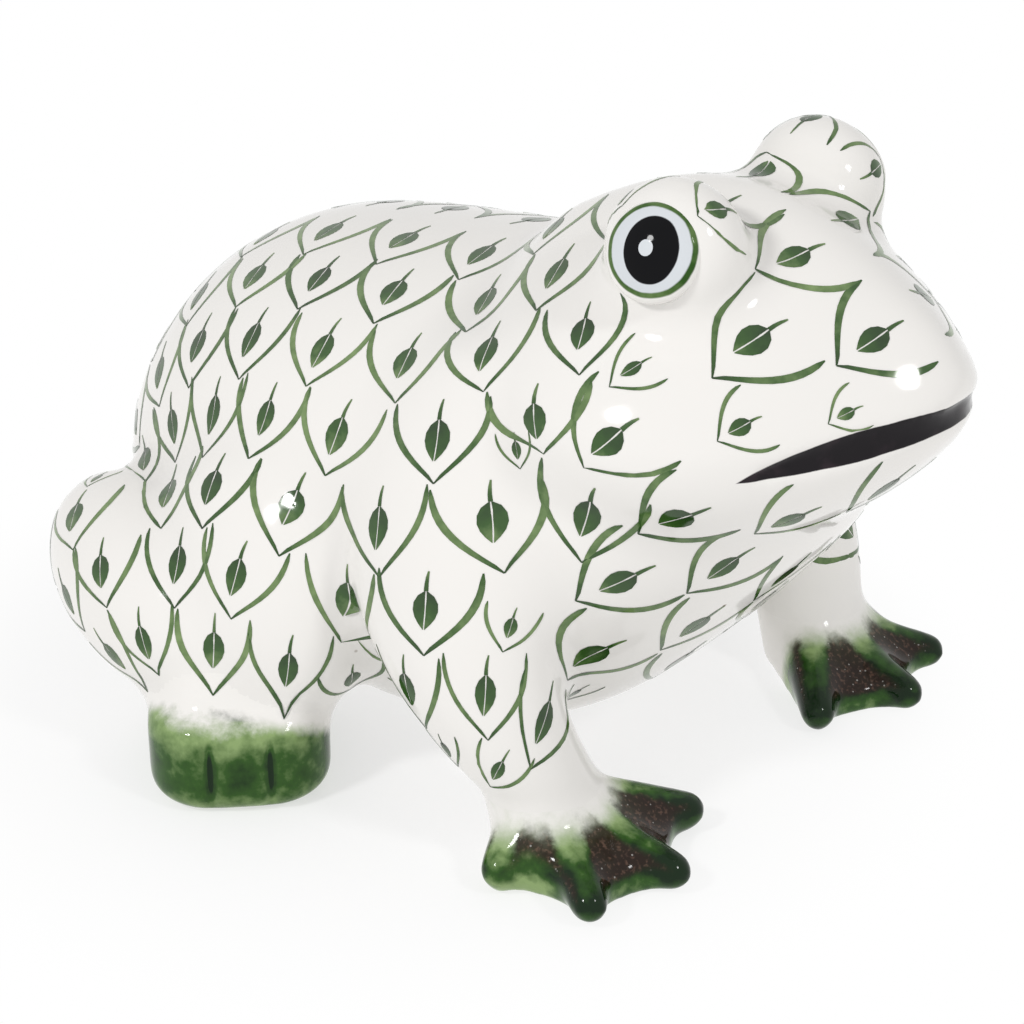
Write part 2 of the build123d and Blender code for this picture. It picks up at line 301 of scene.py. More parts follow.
class FrogColours(PropertyGroup):
    """Colours of the glazes, as linear values."""

    white: FloatVectorProperty(
        name="White Glaze", description="Glaze of the body", subtype="COLOR", default=(0.86, 0.84, 0.81)
    )
    # Grey of glaze pooled in creases and of random clouds, also used as painted shade in hollows
    pooled_grey_and_shade: FloatVectorProperty(
        name="Pooled Glaze",
        description="White glaze where it lies thick",
        subtype="COLOR",
        default=(0.70, 0.68, 0.66),
    )
    speck: FloatVectorProperty(
        name="Specks", description="Iron specks in the body", subtype="COLOR", default=(0.22, 0.16, 0.11)
    )
    green_dark: FloatVectorProperty(
        name="Dark Green", description="Green where it pools", subtype="COLOR", default=(0.006, 0.020, 0.006)
    )
    green_mid: FloatVectorProperty(
        name="Green", description="Green of a full brush", subtype="COLOR", default=(0.031, 0.090, 0.014)
    )
    green_thin: FloatVectorProperty(
        name="Thin Green", description="Green of a dry brush", subtype="COLOR", default=(0.26, 0.37, 0.15)
    )
    web: FloatVectorProperty(
        name="Web Brown",
        description="Overfired pigment on the webs",
        subtype="COLOR",
        default=(0.022, 0.011, 0.008),
    )
    web_light: FloatVectorProperty(
        name="Web Grain",
        description="Grain in the overfired pigment",
        subtype="COLOR",
        default=(0.10, 0.055, 0.040),
    )
    mouth: FloatVectorProperty(
        name="Mouth", description="Black of the mouth", subtype="COLOR", default=(0.007, 0.005, 0.007)
    )
    # Purple-brown black in random patches of the mouth: partly the paint's own tint, partly a painted sheen
    mouth_tint_and_sheen: FloatVectorProperty(
        name="Mouth Edge",
        description="Black of the mouth where it is thin",
        subtype="COLOR",
        default=(0.030, 0.018, 0.024),
    )
    eye_white: FloatVectorProperty(
        name="Eye White", description="White round the pupil", subtype="COLOR", default=(0.66, 0.69, 0.72)
    )
    pupil: FloatVectorProperty(
        name="Pupil", description="Black of the pupil", subtype="COLOR", default=(0.004, 0.004, 0.005)
    )
    floor: FloatVectorProperty(
        name="Floor", description="Paper under the figurine", subtype="COLOR", default=(0.93, 0.93, 0.93)
    )


# Meshes


def kind_of(node):
    """Name of a casting without its side."""
    return node.removeprefix("right_").removeprefix("left_")


def shown_object(name, mesh):
    """New object in the scene with a mesh."""
    made = bpy.data.objects.new(name, mesh)
    bpy.context.scene.collection.objects.link(made)
    return made


def evaluated_mesh(obj):
    """Plain mesh of an object with its modifiers applied."""
    depsgraph = bpy.context.evaluated_depsgraph_get()
    return bpy.data.meshes.new_from_object(obj.evaluated_get(depsgraph))


def read(items, name, width=1, kind=float):
    """One property of all items of a mesh, in rows where each item has several numbers."""
    values = np.empty(len(items) * width, kind)
    items.foreach_get(name, values)
    return values.reshape(-1, width) if width > 1 else values


def store(mesh, name, kind, values, domain="POINT"):
    """Puts a new attribute on a mesh."""
    key = "vector" if kind == "FLOAT_VECTOR" else "value"
    values = np.asarray(values, np.int32 if kind == "INT" else np.float32)
    mesh.attributes.new(name, kind, domain).data.foreach_set(key, values.ravel())


def corners_of(mesh):
    """Index of the point at each corner of each face."""
    return read(mesh.loops, "vertex_index", kind=np.int32)


def row_lengths(vectors):
    """Length of each vector in an array."""
    return np.linalg.norm(vectors, axis=1)


def row_dots(first, second):
    """Dot product of each pair of vectors in two arrays."""
    return np.einsum("ij,ij->i", first, second)


def inside_box(points):
    """Points kept within the box of the castings."""
    return np.clip(points, *np.array(CAD_BOX))


def remeshed(mesh, voxel):
    """Mesh of the same shape on an even grid."""
    holder = shown_object("remesh_holder", mesh)
    modifier = holder.modifiers.new("grid", "REMESH")
    modifier.mode = "VOXEL"
    modifier.voxel_size = voxel
    made = evaluated_mesh(holder)
    bpy.data.objects.remove(holder)
    return made


# Skin


def joined_castings(sizes):
    """Mesh of all castings but the eyes, with the belly's vent stopped up at the inside of the wall."""
    shape = bmesh.new()
    for node in CASTINGS:
        shape.from_mesh(frame["nodes"][node].data)
    bmesh.ops.remove_doubles(shape, verts=shape.verts, dist=0.001 * MM)
    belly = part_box("torso_shell")[0].z
    plug = 1.4 * sizes.vent_radius
    bmesh.ops.create_cone(
        shape,
        cap_ends=True,
        segments=24,
        radius1=plug,
        radius2=plug,
        depth=0.6 * sizes.casting_wall,
        matrix=Matrix.Translation((sizes.vent_x, 0, belly + 0.8 * sizes.casting_wall)),
    )
    mesh = bpy.data.meshes.new("castings")
    shape.to_mesh(mesh)
    shape.free()
    return mesh


class Skin:
    """Points and quads of a closed surface, with what is needed to even it out."""

    def __init__(self, mesh):
        self.points = read(mesh.vertices, "co", 3)
        self.quads = corners_of(mesh).reshape(-1, 4)
        self.keep_outer_shell()

    def keep_outer_shell(self):
        """Drops the closed hollows inside and keeps the shell that reaches lowest."""
        label = np.arange(len(self.points))
        while True:
            lowest = label[self.quads].min(axis=1)
            new = label.copy()
            for corner in range(4):
                np.minimum.at(new, self.quads[:, corner], lowest)
            new = new[new]
            if np.array_equal(new, label):
                break
            label = new
        outer = label == label[np.argmin(self.points[:, 2])]
        index = np.cumsum(outer) - 1
        self.quads = index[self.quads[outer[self.quads[:, 0]]]]
        self.points = self.points[outer]
        sides = np.concatenate([self.quads[:, [k, (k + 1) % 4]] for k in range(4)])
        self.edges = np.unique(np.sort(sides, axis=1), axis=0)
        self.degree = np.bincount(self.edges.ravel(), minlength=len(self.points))

    def mean_of_neighbours(self, values):
        """Mean of a value, or of each column of values, over the points next to each point."""
        columns = values.reshape(len(values), -1)
        first, second = self.edges.T
        total = [
            np.bincount(first, column[second], len(values)) + np.bincount(second, column[first], len(values))
            for column in columns.T
        ]
        return (np.stack(total, axis=1) / self.degree[:, None]).reshape(values.shape)

    def to_neighbours(self):
        """Way from each point to the middle of its neighbours."""
        return self.mean_of_neighbours(self.points) - self.points

    def normals(self):
        """Outward normal at each point."""
        a, b, c, d = (self.points[self.quads[:, k]] for k in range(4))
        face = np.cross(c - a, d - b)
        total = np.zeros_like(self.points)
        for axis in range(3):
            for corner in range(4):
                total[:, axis] += np.bincount(self.quads[:, corner], face[:, axis], len(self.points))
        return total / np.maximum(row_lengths(total)[:, None], 1e-12)

    def relief(self):
        """How far each point stands out of its neighbourhood, from -1 in a hollow to 1 on a ridge."""
        relief = -row_dots(self.to_neighbours(), self.normals())
        for _ in range(RELIEF_ROUNDS):
            relief = self.mean_of_neighbours(relief)
        return np.clip(relief / FULL_RELIEF, -1, 1)

    def soften(self, sizes, owner, seam):
        """Fills the seams and creases, then evens out the skin, gently on the feet and at the mouth."""
        feet = np.isin(owner, [CASTINGS.index(node) for node in FEET])
        webbed = np.isin(owner, [CASTINGS.index(node) for node in FEET if kind_of(node) == "fore_foot"])
        mouth = near_mouth(sizes, self.points, MOUTH_ROOM)
        fill = np.where(owner == CASTINGS.index("head_shell"), np.maximum(seam, HEAD_FILL), seam)
        for part, least in ((feet, HIND_FOOT_FILL), (webbed, WEB_FILL)):
            fill[part] = np.maximum(FOOT_SEAM_SHARE * seam[part], least)
        fill[mouth] = 0
        for step in range(sizes.seam_rounds):
            if step % NORMALS_EVERY == 0:
                normals = self.normals()
            shift = self.to_neighbours()
            share = np.where(row_dots(shift, normals) > 0, 1.0, SINK_SHARE)
            self.points += (SKIN_STEP * fill * share)[:, None] * shift
        gentle = np.where(feet | mouth, GENTLE_SHARE, 1.0)[:, None]
        for _ in range(sizes.fair_rounds):
            for gain in FAIR_STEPS:
                self.points += gain * gentle * self.to_neighbours()
        for step in range(WEB_LAST_STEPS):
            soft = np.where(webbed | (step < LAST_STEPS), SKIN_STEP, 0.0)[:, None]
            self.points += soft * self.to_neighbours()
        self.points = inside_box(self.points)


def casting_of_points(points):
    """Nearest casting of each point, and how strongly slip rounds off a seam there, from 0 to 1."""
    nearest = np.full(len(points), np.inf)
    owner = np.zeros(len(points), np.int32)
    gaps = np.full((len(points), len(CASTINGS)), np.inf)
    widest = max(SEAM_REACH.values()) * MM
    for index, node in enumerate(CASTINGS):
        mesh = frame["nodes"][node].data
        tree = BVHTree.FromPolygons([v.co for v in mesh.vertices], [p.vertices for p in mesh.polygons])
        low, high = (np.array(corner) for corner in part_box(node))
        for near in np.nonzero(np.all((points > low - widest) & (points < high + widest), axis=1))[0]:
            gap = tree.find_nearest(points[near], widest)[3]
            if gap is not None:
                gaps[near, index] = gap
        closer = gaps[:, index] < nearest
        nearest[closer] = gaps[closer, index]
        owner[closer] = index
    reach = np.array([SEAM_REACH[kind_of(node)] * MM for node in CASTINGS])
    pair_reach = np.minimum(reach[None, :], reach[owner][:, None])
    closeness = np.clip(1 - gaps / pair_reach, 0, 1)
    closeness[np.arange(len(points)), owner] = 0
    return owner, closeness.max(axis=1)


def near_mouth(sizes, points, margin):
    """Which points lie within a margin of the mouth's middle line."""
    (corner_x, corner_z), (front_x, front_z) = sizes.mouth_corner, sizes.mouth_front
    middle = corner_z + (points[:, 0] - corner_x) * (front_z - corner_z) / (front_x - corner_x)
    return (points[:, 0] > corner_x - margin) & (np.abs(points[:, 2] - middle) < margin)


def boundary_fans(faces, points):
    """Closes an open shell: each rim gets a point inside it and a fan of triangles to that point."""
    sides = np.concatenate([faces[:, [k, (k + 1) % 4]] for k in range(4)])
    known = {(int(a), int(b)) for a, b in sides}
    rim = [(a, b) for a, b in known if (b, a) not in known]
    parent = {}

    def root(vertex):
        while parent.setdefault(vertex, vertex) != vertex:
            vertex = parent[vertex]
        return vertex

    for a, b in rim:
        parent[root(a)] = root(b)
    loops = {}
    for a, b in sorted(rim):
        loops.setdefault(root(a), []).append((a, b))
    hubs, fans = [], []
    for loop in loops.values():
        hub = len(points) + len(hubs)
        hubs.append(points[[a for a, b in loop]].mean(axis=0))
        fans += [(b, a, hub) for a, b in loop]
    return hubs, fans


def distance_to_rim(points, fans):
    """Distance of each point of an open shell from its rim, which the closing fans run along."""
    rim = sorted({corner for fan in fans for corner in fan if corner < len(points)})
    tree = KDTree(len(rim))
    for corner in rim:
        tree.insert(points[corner], corner)
    tree.balance()
    return [tree.find(place)[2] for place in points]


def casting_piece(skin_object, node):
    """Closed piece of the skin over one casting."""
    mesh = skin_object.data
    owner = read(mesh.attributes["casting"].data, "value", kind=np.int32)
    faces = corners_of(mesh).reshape(-1, 4)[owner == CASTINGS.index(node)]
    used, faces = np.unique(faces, return_inverse=True)
    faces = faces.reshape(-1, 4)
    points = read(mesh.vertices, "co", 3)[used]
    relief = read(mesh.attributes["relief"].data, "value")[used]
    normals = read(mesh.attributes["skin_normal"].data, "vector", 3)[used]
    hubs, fans = boundary_fans(faces, points)
    piece = bpy.data.meshes.new(f"{node}_glazed")
    piece.from_pydata(np.vstack([points] + hubs), [], faces.tolist() + fans)
    at_hubs = [0.0] * len(hubs)
    store(piece, "relief", "FLOAT", [*relief, *at_hubs])
    store(piece, "inset", "FLOAT", [*distance_to_rim(points, fans), *at_hubs])
    piece.shade_smooth()
    fan_normals = [np.array(face.normal) for face in piece.polygons[len(faces):] for _ in range(3)]
    piece.normals_split_custom_set(np.vstack([normals[faces.ravel()]] + fan_normals))
    return shown_object(f"{node}_glazed", piece)


def dress(piece, material, slot, *nodes):
    """Gives a piece its material and its place in the part."""
    piece.data.materials.clear()
    piece.data.materials.append(material)
    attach(piece, BODY)
    if nodes:
        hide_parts(*nodes)


def eye_frame(sizes, node):
    """Middle of an eye's dome on its surface, and the directions across, up and out of the eye."""
    level, lift = math.cos(sizes.eye_pitch), math.sin(sizes.eye_pitch)
    out = Vector((level * math.sin(sizes.eye_yaw), EYES[node] * level * math.cos(sizes.eye_yaw), lift))
    reach = max(vertex.co.dot(out) for vertex in frame["nodes"][node].data.vertices)
    low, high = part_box(node)
    middle = (low + high) / 2
    apex = middle + out * (reach - middle.dot(out))
    across = Vector((0, 0, 1)).cross(out).normalized()
    return apex, across, out.cross(across), out


# Brushwork


def stroke(path, half_widths, inks, lift):
    """Closed bead of paint along a path in the plane: points, faces, ink and lift of each point."""
    heading = np.gradient(path, axis=0)
    heading /= row_lengths(heading)[:, None]
    aside = np.stack([-heading[:, 1], heading[:, 0]], axis=1)
    points, faces = [], []
    for middle, side, half in zip(path, aside, half_widths):
        points += [middle - half * side, middle, middle + half * side]
    for k in range(len(path) - 1):
        a, b = 3 * k, 3 * k + 3
        faces += [(a, b, b + 1, a + 1), (a + 1, b + 1, b + 2, a + 2), (a + 2, b + 2, b, a)]
    last = 3 * len(path) - 3
    faces += [(0, 1, 2), (last + 2, last + 1, last)]
    lifts = np.tile([0.5, 1.0, 0.5], len(path)) * lift
    return points, faces, np.repeat(inks, 3), lifts


def scale_strokes(sizes, hand):
    """Strokes of one painted scale: two edges that meet in a point, and a leaf of two dabs on a stem."""
    half, depth = sizes.scale_width / 2, sizes.row_step
    along = np.linspace(0, 1, 12)
    edge = (1 - along**2.4) ** 1.25
    lean = hand.uniform(-0.5, 0.5) * MM
    tip = 1.05 * depth * hand.uniform(0.97, 1.05)
    strokes = []
    for side in (-1, 1):
        start = hand.uniform(0.0, 0.05)
        path = np.stack([side * half * edge + lean * along**2, tip * (start + (1 - start) * along)], 1)
        press = sizes.line_width / 2 * (0.45 + 0.60 * np.sin(math.pi * along**0.7)) * hand.uniform(0.9, 1.1)
        press[[0, -1]] *= 0.5
        strokes.append((path, press, 0.32 + 0.45 * along**6 + 0.25 * (1 - along) ** 9))
    leaf = np.linspace(0, 1, 7)
    swell = np.sin(math.pi * leaf**0.85)
    foot, leaf_length = 0.26 * depth, 0.50 * depth * hand.uniform(0.9, 1.08)
    dab = 2.0 * MM * hand.uniform(0.88, 1.1)
    bend = hand.uniform(-0.6, 0.6) * MM
    midrib = 0.14 * MM
    for side in (-1, 1):
        across = side * (midrib + dab / 2 * swell) + bend * leaf**2
        path = np.stack([across, foot + leaf_length * leaf], 1)
        strokes.append((path, dab / 2 * swell + 0.05 * MM, 0.80 - 0.44 * leaf))
    stem = np.linspace(0, 1, 4)
    path = np.stack([-bend * stem**2, foot - 0.24 * depth * stem], 1)
    strokes.append((path, np.array([0.36, 0.32, 0.26, 0.14]) * MM, 0.60 - 0.30 * stem))
    return strokes


def scale_motif(name, sizes, hand):
    """Mesh of one painted scale in the plane, with ink and lift on its points."""
    points, faces, inks, lifts = [], [], [], []
    for path, half_widths, ink in scale_strokes(sizes, hand):
        more, sides, tones, heights = stroke(path, half_widths, ink, PAINT_LIFT)
        faces += [tuple(k + len(points) for k in side) for side in sides]
        points += more
        inks.extend(tones)
        lifts.extend(heights)
    mesh = bpy.data.meshes.new(name)
    mesh.from_pydata([(x, y, 0) for x, y in points], [], faces)
    store(mesh, "ink", "FLOAT", inks)
    store(mesh, "lift", "FLOAT", lifts)
    return mesh


def wave_front(near, far, side, corner):
    """Distance at a triangle's corner from the distances at the ends of its far side, or none."""
    start = (near * near - far * far + side * side) / (2 * side)
    below = near * near - start * start
    if below < 0:
        return math.inf
    depth = math.sqrt(below)
    crossing = start + (corner[0] - start) * depth / (corner[1] + depth)
    if not 0 <= crossing <= side:
        return math.inf
    return math.hypot(corner[0] - start, corner[1] + depth)


def surface_distance(points, triangles, starts):
    """Distance over the surface from points with known distances, by a front that marches over triangles."""
    fans = [[] for _ in points]
    for a, b, c in triangles.tolist():
        fans[a].append((b, c))
        fans[b].append((c, a))
        fans[c].append((a, b))
    places = [Vector(place) for place in points]
    distance = [math.inf] * len(points)
    settled = [False] * len(points)
    front = [(gap, index) for index, gap in starts.items()]
    heapq.heapify(front)
    for gap, index in front:
        distance[index] = gap
    while front:
        reached, here = heapq.heappop(front)
        if settled[here]:
            continue
        settled[here] = True
        for pair in fans[here]:
            for there, other in (pair, pair[::-1]):
                if settled[there]:
                    continue
                step = places[there] - places[here]
                found = reached + step.length
                if settled[other]:
                    side = places[other] - places[here]
                    along = step.dot(side) / side.length
                    above = math.sqrt(max(step.length_squared - along * along, 1e-18))
                    found = min(found, wave_front(reached, distance[other], side.length, (along, above)))
                if found < distance[there]:
                    distance[there] = found
                    heapq.heappush(front, (found, there))
    return np.array(distance)


def staggered(previous, whole, width):
    """Places along a loop between those of the row before; wide gaps get more scales and narrow ones none."""
    if len(previous) < 2:
        number = max(1, round(whole / width))
        return np.arange(number) * whole / number
    marks = np.sort(previous)
    places = []
    for start, gap in zip(marks, np.diff(np.append(marks, marks[0] + whole))):
        number = round(gap / width)
        places += [start + gap * (k + 0.5) / number for k in range(number)]
    places = np.array(places)
    for _ in range(PLACE_ROUNDS):
        if len(places) > 2:
            before = np.roll(places, 1) - np.append(whole, np.zeros(len(places) - 1))
            after = np.roll(places, -1) + np.append(np.zeros(len(places) - 1), whole)
            places = 0.5 * places + 0.25 * (before + after)
    return places


# A painted scale: its middle, the skin's normal, its directions along the row and off the spine, its width
Scale = namedtuple("Scale", "middle normal across along width")


class ScaleGround:
    """Coarse copy of the skin that the scales are laid out on, with the distance over it from the spine."""

    def __init__(self, skin_object, sizes):
        self.sizes = sizes
        self.skin = Skin(remeshed(skin_object.data.copy(), sizes.ground_voxel))
        self.points, quads = self.skin.points, self.skin.quads
        self.normals = self.skin.normals()
        self.triangles = np.concatenate([quads[:, [0, 1, 2]], quads[:, [0, 2, 3]]])
        self.tree = BVHTree.FromPolygons(self.points.tolist(), quads.tolist())
        self.eyes = []
        for node in EYES:
            apex, _, _, out = eye_frame(sizes, node)
            self.eyes.append(np.array(apex - out * sizes.eye_dome / 4))
        self.measure_field()

    def measure_field(self):
        """Distance of each point from the spine, and the way in which it rises."""
        aside = np.abs(self.points[:, 1])
        spine = (aside < SPINE_GRIDS * self.sizes.ground_voxel) & (self.normals[:, 2] > SPINE_UPWARD)
        spine &= ~near_mouth(self.sizes, self.points, SPINE_END_ROOM)
        starts = {k: aside[k] for k in np.nonzero(spine)[0].tolist()}
        field = surface_distance(self.points, self.triangles, starts)
        for _ in range(FIELD_ROUNDS):
            field = np.where(field > 2 * self.sizes.first_row, self.skin.mean_of_neighbours(field), field)
        self.field = field
        a, b, c = (self.points[self.triangles[:, k]] for k in range(3))
        normal = np.cross(b - a, c - a)
        area = np.maximum(row_lengths(normal)[:, None], 1e-15)
        values = field[self.triangles]
        rise = (
            values[:, :1] * np.cross(normal, c - b)
            + values[:, 1:2] * np.cross(normal, a - c)
            + values[:, 2:] * np.cross(normal, b - a)
        ) / area**2
        self.slope = np.zeros_like(self.points)
        for corner in range(3):
            np.add.at(self.slope, self.triangles[:, corner], rise)

    def rising(self, place):
        """Way off the spine at a place."""
        face = self.tree.find_nearest(place)[2]
        return self.slope[self.skin.quads[face]].mean(axis=0)

    def loops(self, level):
        """Closed lines at one distance from the spine: points, normals and the walk to each next point."""
        above = self.field > level
        crossing = self.triangles[np.ptp(above[self.triangles].astype(int), axis=1) > 0]
        links = {}
        for corners in crossing.tolist():
            cut = [
                tuple(sorted((corners[k], corners[k - 1])))
                for k in range(3)
                if above[corners[k]] != above[corners[k - 1]]
            ]
            links.setdefault(cut[0], []).append(cut[1])
            links.setdefault(cut[1], []).append(cut[0])
        while links:
            here = next(iter(links))
            chain = []
            while here in links:
                chain.append(here)
                following = links.pop(here)
                here = next((edge for edge in following if edge in links), None)
            first, second = np.array(chain).T
            low, high = self.field[first], self.field[second]
            share = ((level - low) / (high - low))[:, None]
            line = self.points[first] * (1 - share) + self.points[second] * share
            facing = self.normals[first] * (1 - share) + self.normals[second] * share
            walked = np.cumsum(row_lengths(np.roll(line, -1, axis=0) - line))
            if len(line) >= SHORTEST_LOOP and walked[-1] >= self.sizes.scale_width:
                yield line, facing / row_lengths(facing)[:, None], walked

    def scales_on_loop(self, loop, places):
        """Scales at given places along a loop, each as wide as its gaps allow."""
        line, facing, walked = loop
        walked = np.append(0, walked)
        places = np.sort(np.mod(places, walked[-1]))
        gaps = np.diff(np.append(places, places[0] + walked[-1]))
        scales = []
        for index, place in enumerate(places):
            k = min(np.searchsorted(walked, place, side="right") - 1, len(line) - 1)
            across = line[(k + POINTS_AHEAD) % len(line)] - line[(k - POINTS_BEHIND) % len(line)]
            along = np.cross(facing[k], across)
            if np.dot(along, self.rising(line[k])) < 0:
                along = -along
            along /= np.linalg.norm(along)
            after, before = gaps[index], gaps[index - 1]
            room = min((after + before) / 2, GAP_SHARE * after, GAP_SHARE * before)
            width = np.clip(room, NARROWEST * self.sizes.scale_width, WIDEST * self.sizes.scale_width)
            scales.append(Scale(line[k], facing[k], np.cross(along, facing[k]), along, width))
        return scales

    def rows(self):
        """Staggered rows of scales, each a step further down from the spine."""
        step, width = self.sizes.row_step, self.sizes.scale_width
        before = np.zeros((0, 3))
        level = self.sizes.first_row
        while level < self.field.max():
            row = []
            for loop in self.loops(level):
                line, _, walked = loop
                marks = []
                for guess in before:
                    gap = row_lengths(line - guess)
                    if gap.min() < MARK_REACH * step:
                        marks.append(walked[np.argmin(gap)])
                places = staggered(np.array(marks), walked[-1], width)
                if len(places):
                    row += self.scales_on_loop(loop, places)
            if row:
                before = np.array([scale.middle + step * scale.along for scale in row])
            yield from row
            level += step

    def spares(self):
        """Places close together where a small scale may fill a bare spot."""
        width = self.sizes.scale_width
        for level in np.arange(self.sizes.first_row, self.field.max(), self.sizes.row_step / 2):
            for loop in self.loops(level):
                for scale in self.scales_on_loop(loop, np.arange(0, loop[2][-1], SPARE_STEP * width)):
                    yield scale._replace(width=width)

    def outline(self, scale, share):
        """Points on and in a scale's outline at a share of its full size."""
        reach = share * SCALE_OUTLINE * (scale.width / 2, self.sizes.row_step)
        return scale.middle + reach[:, :1] * scale.across + reach[:, 1:] * scale.along

    def near_eye(self, points):
        """Whether any point lies too close to an eye for paint."""
        room = self.sizes.eye_diameter / 2 + EYE_ROOM
        return any((row_lengths(points - eye) < room).any() for eye in self.eyes)

    def fits(self, scale, share):
        """Whether a scale at a share of its size clears mouth, eyes, ankles, creases and turns of rows."""
        if scale.normal[2] < UNDERSIDE or scale.middle[2] < self.sizes.lowest_scale:
            return False
        outline = self.outline(scale, share)
        if near_mouth(self.sizes, outline, LIP_ROOM).any() or self.near_eye(outline):
            return False
        found = [self.tree.find_nearest(place)[:2] for place in outline]
        for place, facing in found:
            if np.dot(facing, scale.normal) <= LEAST_FACING or place.z <= ANKLE_HEIGHT:
                return False
        slopes = np.array([self.rising(place) for place, _ in found])
        return bool((slopes @ scale.along > LEAST_DESCENT * row_lengths(slopes)).all())


def anchor_mesh(ground, variants):
    """Points of the painted scales, with their directions, spans, tones and variants."""
    sizes = ground.sizes
    hand = np.random.default_rng(sizes.brush_seed)
    anchors, painted = [], []

    def paint(scale, share):
        turn = hand.normal(0, 0.05)
        across = scale.across * math.cos(turn) + scale.along * math.sin(turn)
        span = (share * scale.width / sizes.scale_width, share * hand.uniform(0.95, 1.05), 1.0)
        tone, kind = hand.uniform(-1, 1), hand.integers(variants)
        anchors.append((scale.middle, across, np.cross(scale.normal, across), span, tone, kind))
        painted.append(ground.outline(scale, share))

    for scale in ground.rows():
        share = next((share for share in SCALE_SHARES if ground.fits(scale, share)), 0)
        if share:
            paint(scale, share)
    spares = list(ground.spares())
    for share in SCALE_SHARES[1:]:
        for scale in spares:
            outline = ground.outline(scale, share)
            if row_lengths(np.concatenate(painted) - outline[OUTLINE_MIDDLE]).min() < sizes.spare_gap:
                continue
            gaps = np.linalg.norm(np.array(painted)[:, :, None] - outline[None, None], axis=3)
            if gaps.min() > sizes.spare_gap and ground.fits(scale, share):
                paint(scale, share)
    middles, across, along, spans, tones, kinds = zip(*anchors)
    mesh = bpy.data.meshes.new("scale_anchors")
    mesh.from_pydata(middles, [], [])
    store(mesh, "across", "FLOAT_VECTOR", across)
    store(mesh, "along", "FLOAT_VECTOR", along)
    store(mesh, "span", "FLOAT_VECTOR", spans)
    store(mesh, "tone", "FLOAT", tones)
    store(mesh, "variant", "INT", kinds)
    return mesh


# Node trees


class Graph:
    """Node tree under construction, with short ways to add its nodes."""

    def __init__(self, tree):
        self.tree = tree

    def node(self, kind, inputs=None, **settings):
        """New node with its settings and inputs."""
        node = self.tree.nodes.new(kind)
        for name, value in settings.items():
            setattr(node, name, value)
        self.feed(node, inputs or {})
        return node

    def feed(self, node, inputs):
        """Gives inputs to a node: a socket is linked, and a plain value is set."""
        for key, value in inputs.items():
            if isinstance(value, NodeSocket):
                self.tree.links.new(value, node.inputs[key])
            else:
                node.inputs[key].default_value = value

    def math(self, operation, *values, clamp=False):
        """Output of a Math node."""
        values = dict(enumerate(values))
        return self.node("ShaderNodeMath", values, operation=operation, use_clamp=clamp).outputs[0]

    def vector(self, operation, *values, output="Vector"):
        """Output of a Vector Math node."""
        node = self.node("ShaderNodeVectorMath", dict(enumerate(values)), operation=operation)
        return node.outputs[output]

    def weighted(self, base, *terms):
        """Sum of a base and of values, each times its weight."""
        for weight, value in terms:
            base = self.math("MULTIPLY_ADD", value, weight, base)
        return base

    def step(self, value, low, high):
        """Smooth step of a value from 0 at low to 1 at high."""
        inputs = {"Value": value, "From Min": low, "From Max": high}
        return self.node("ShaderNodeMapRange", inputs, interpolation_type="SMOOTHSTEP").outputs[0]

    def mix(self, share, first, second):
        """Colour between two colours, which are sockets or colour settings."""
        first, second = (tone if isinstance(tone, NodeSocket) else (*tone, 1.0) for tone in (first, second))
        return self.node("ShaderNodeMix", {0: share, 6: first, 7: second}, data_type="RGBA").outputs[2]

    @functools.cached_property
    def place(self):
        """Place on the object."""
        return self.node("ShaderNodeTexCoord").outputs["Object"]

    def noise(self, scale, detail, **more):
        """Noise over the object."""
        inputs = {"Vector": self.place, "Scale": scale, "Detail": detail, **more}
        return self.node("ShaderNodeTexNoise", inputs).outputs["Fac"]

    def cells(self, scale):
        """Outputs of a cell texture over the object."""
        return self.node("ShaderNodeTexVoronoi", {"Vector": self.place, "Scale": scale}).outputs

    def attribute(self, name, output="Fac"):
        """Attribute of the mesh in a material."""
        return self.node("ShaderNodeAttribute", attribute_name=name).outputs[output]

    def field(self, name, data_type):
        """Attribute of the mesh in a geometry tree."""
        node = self.node("GeometryNodeInputNamedAttribute", {"Name": name}, data_type=data_type)
        return node.outputs["Attribute"]


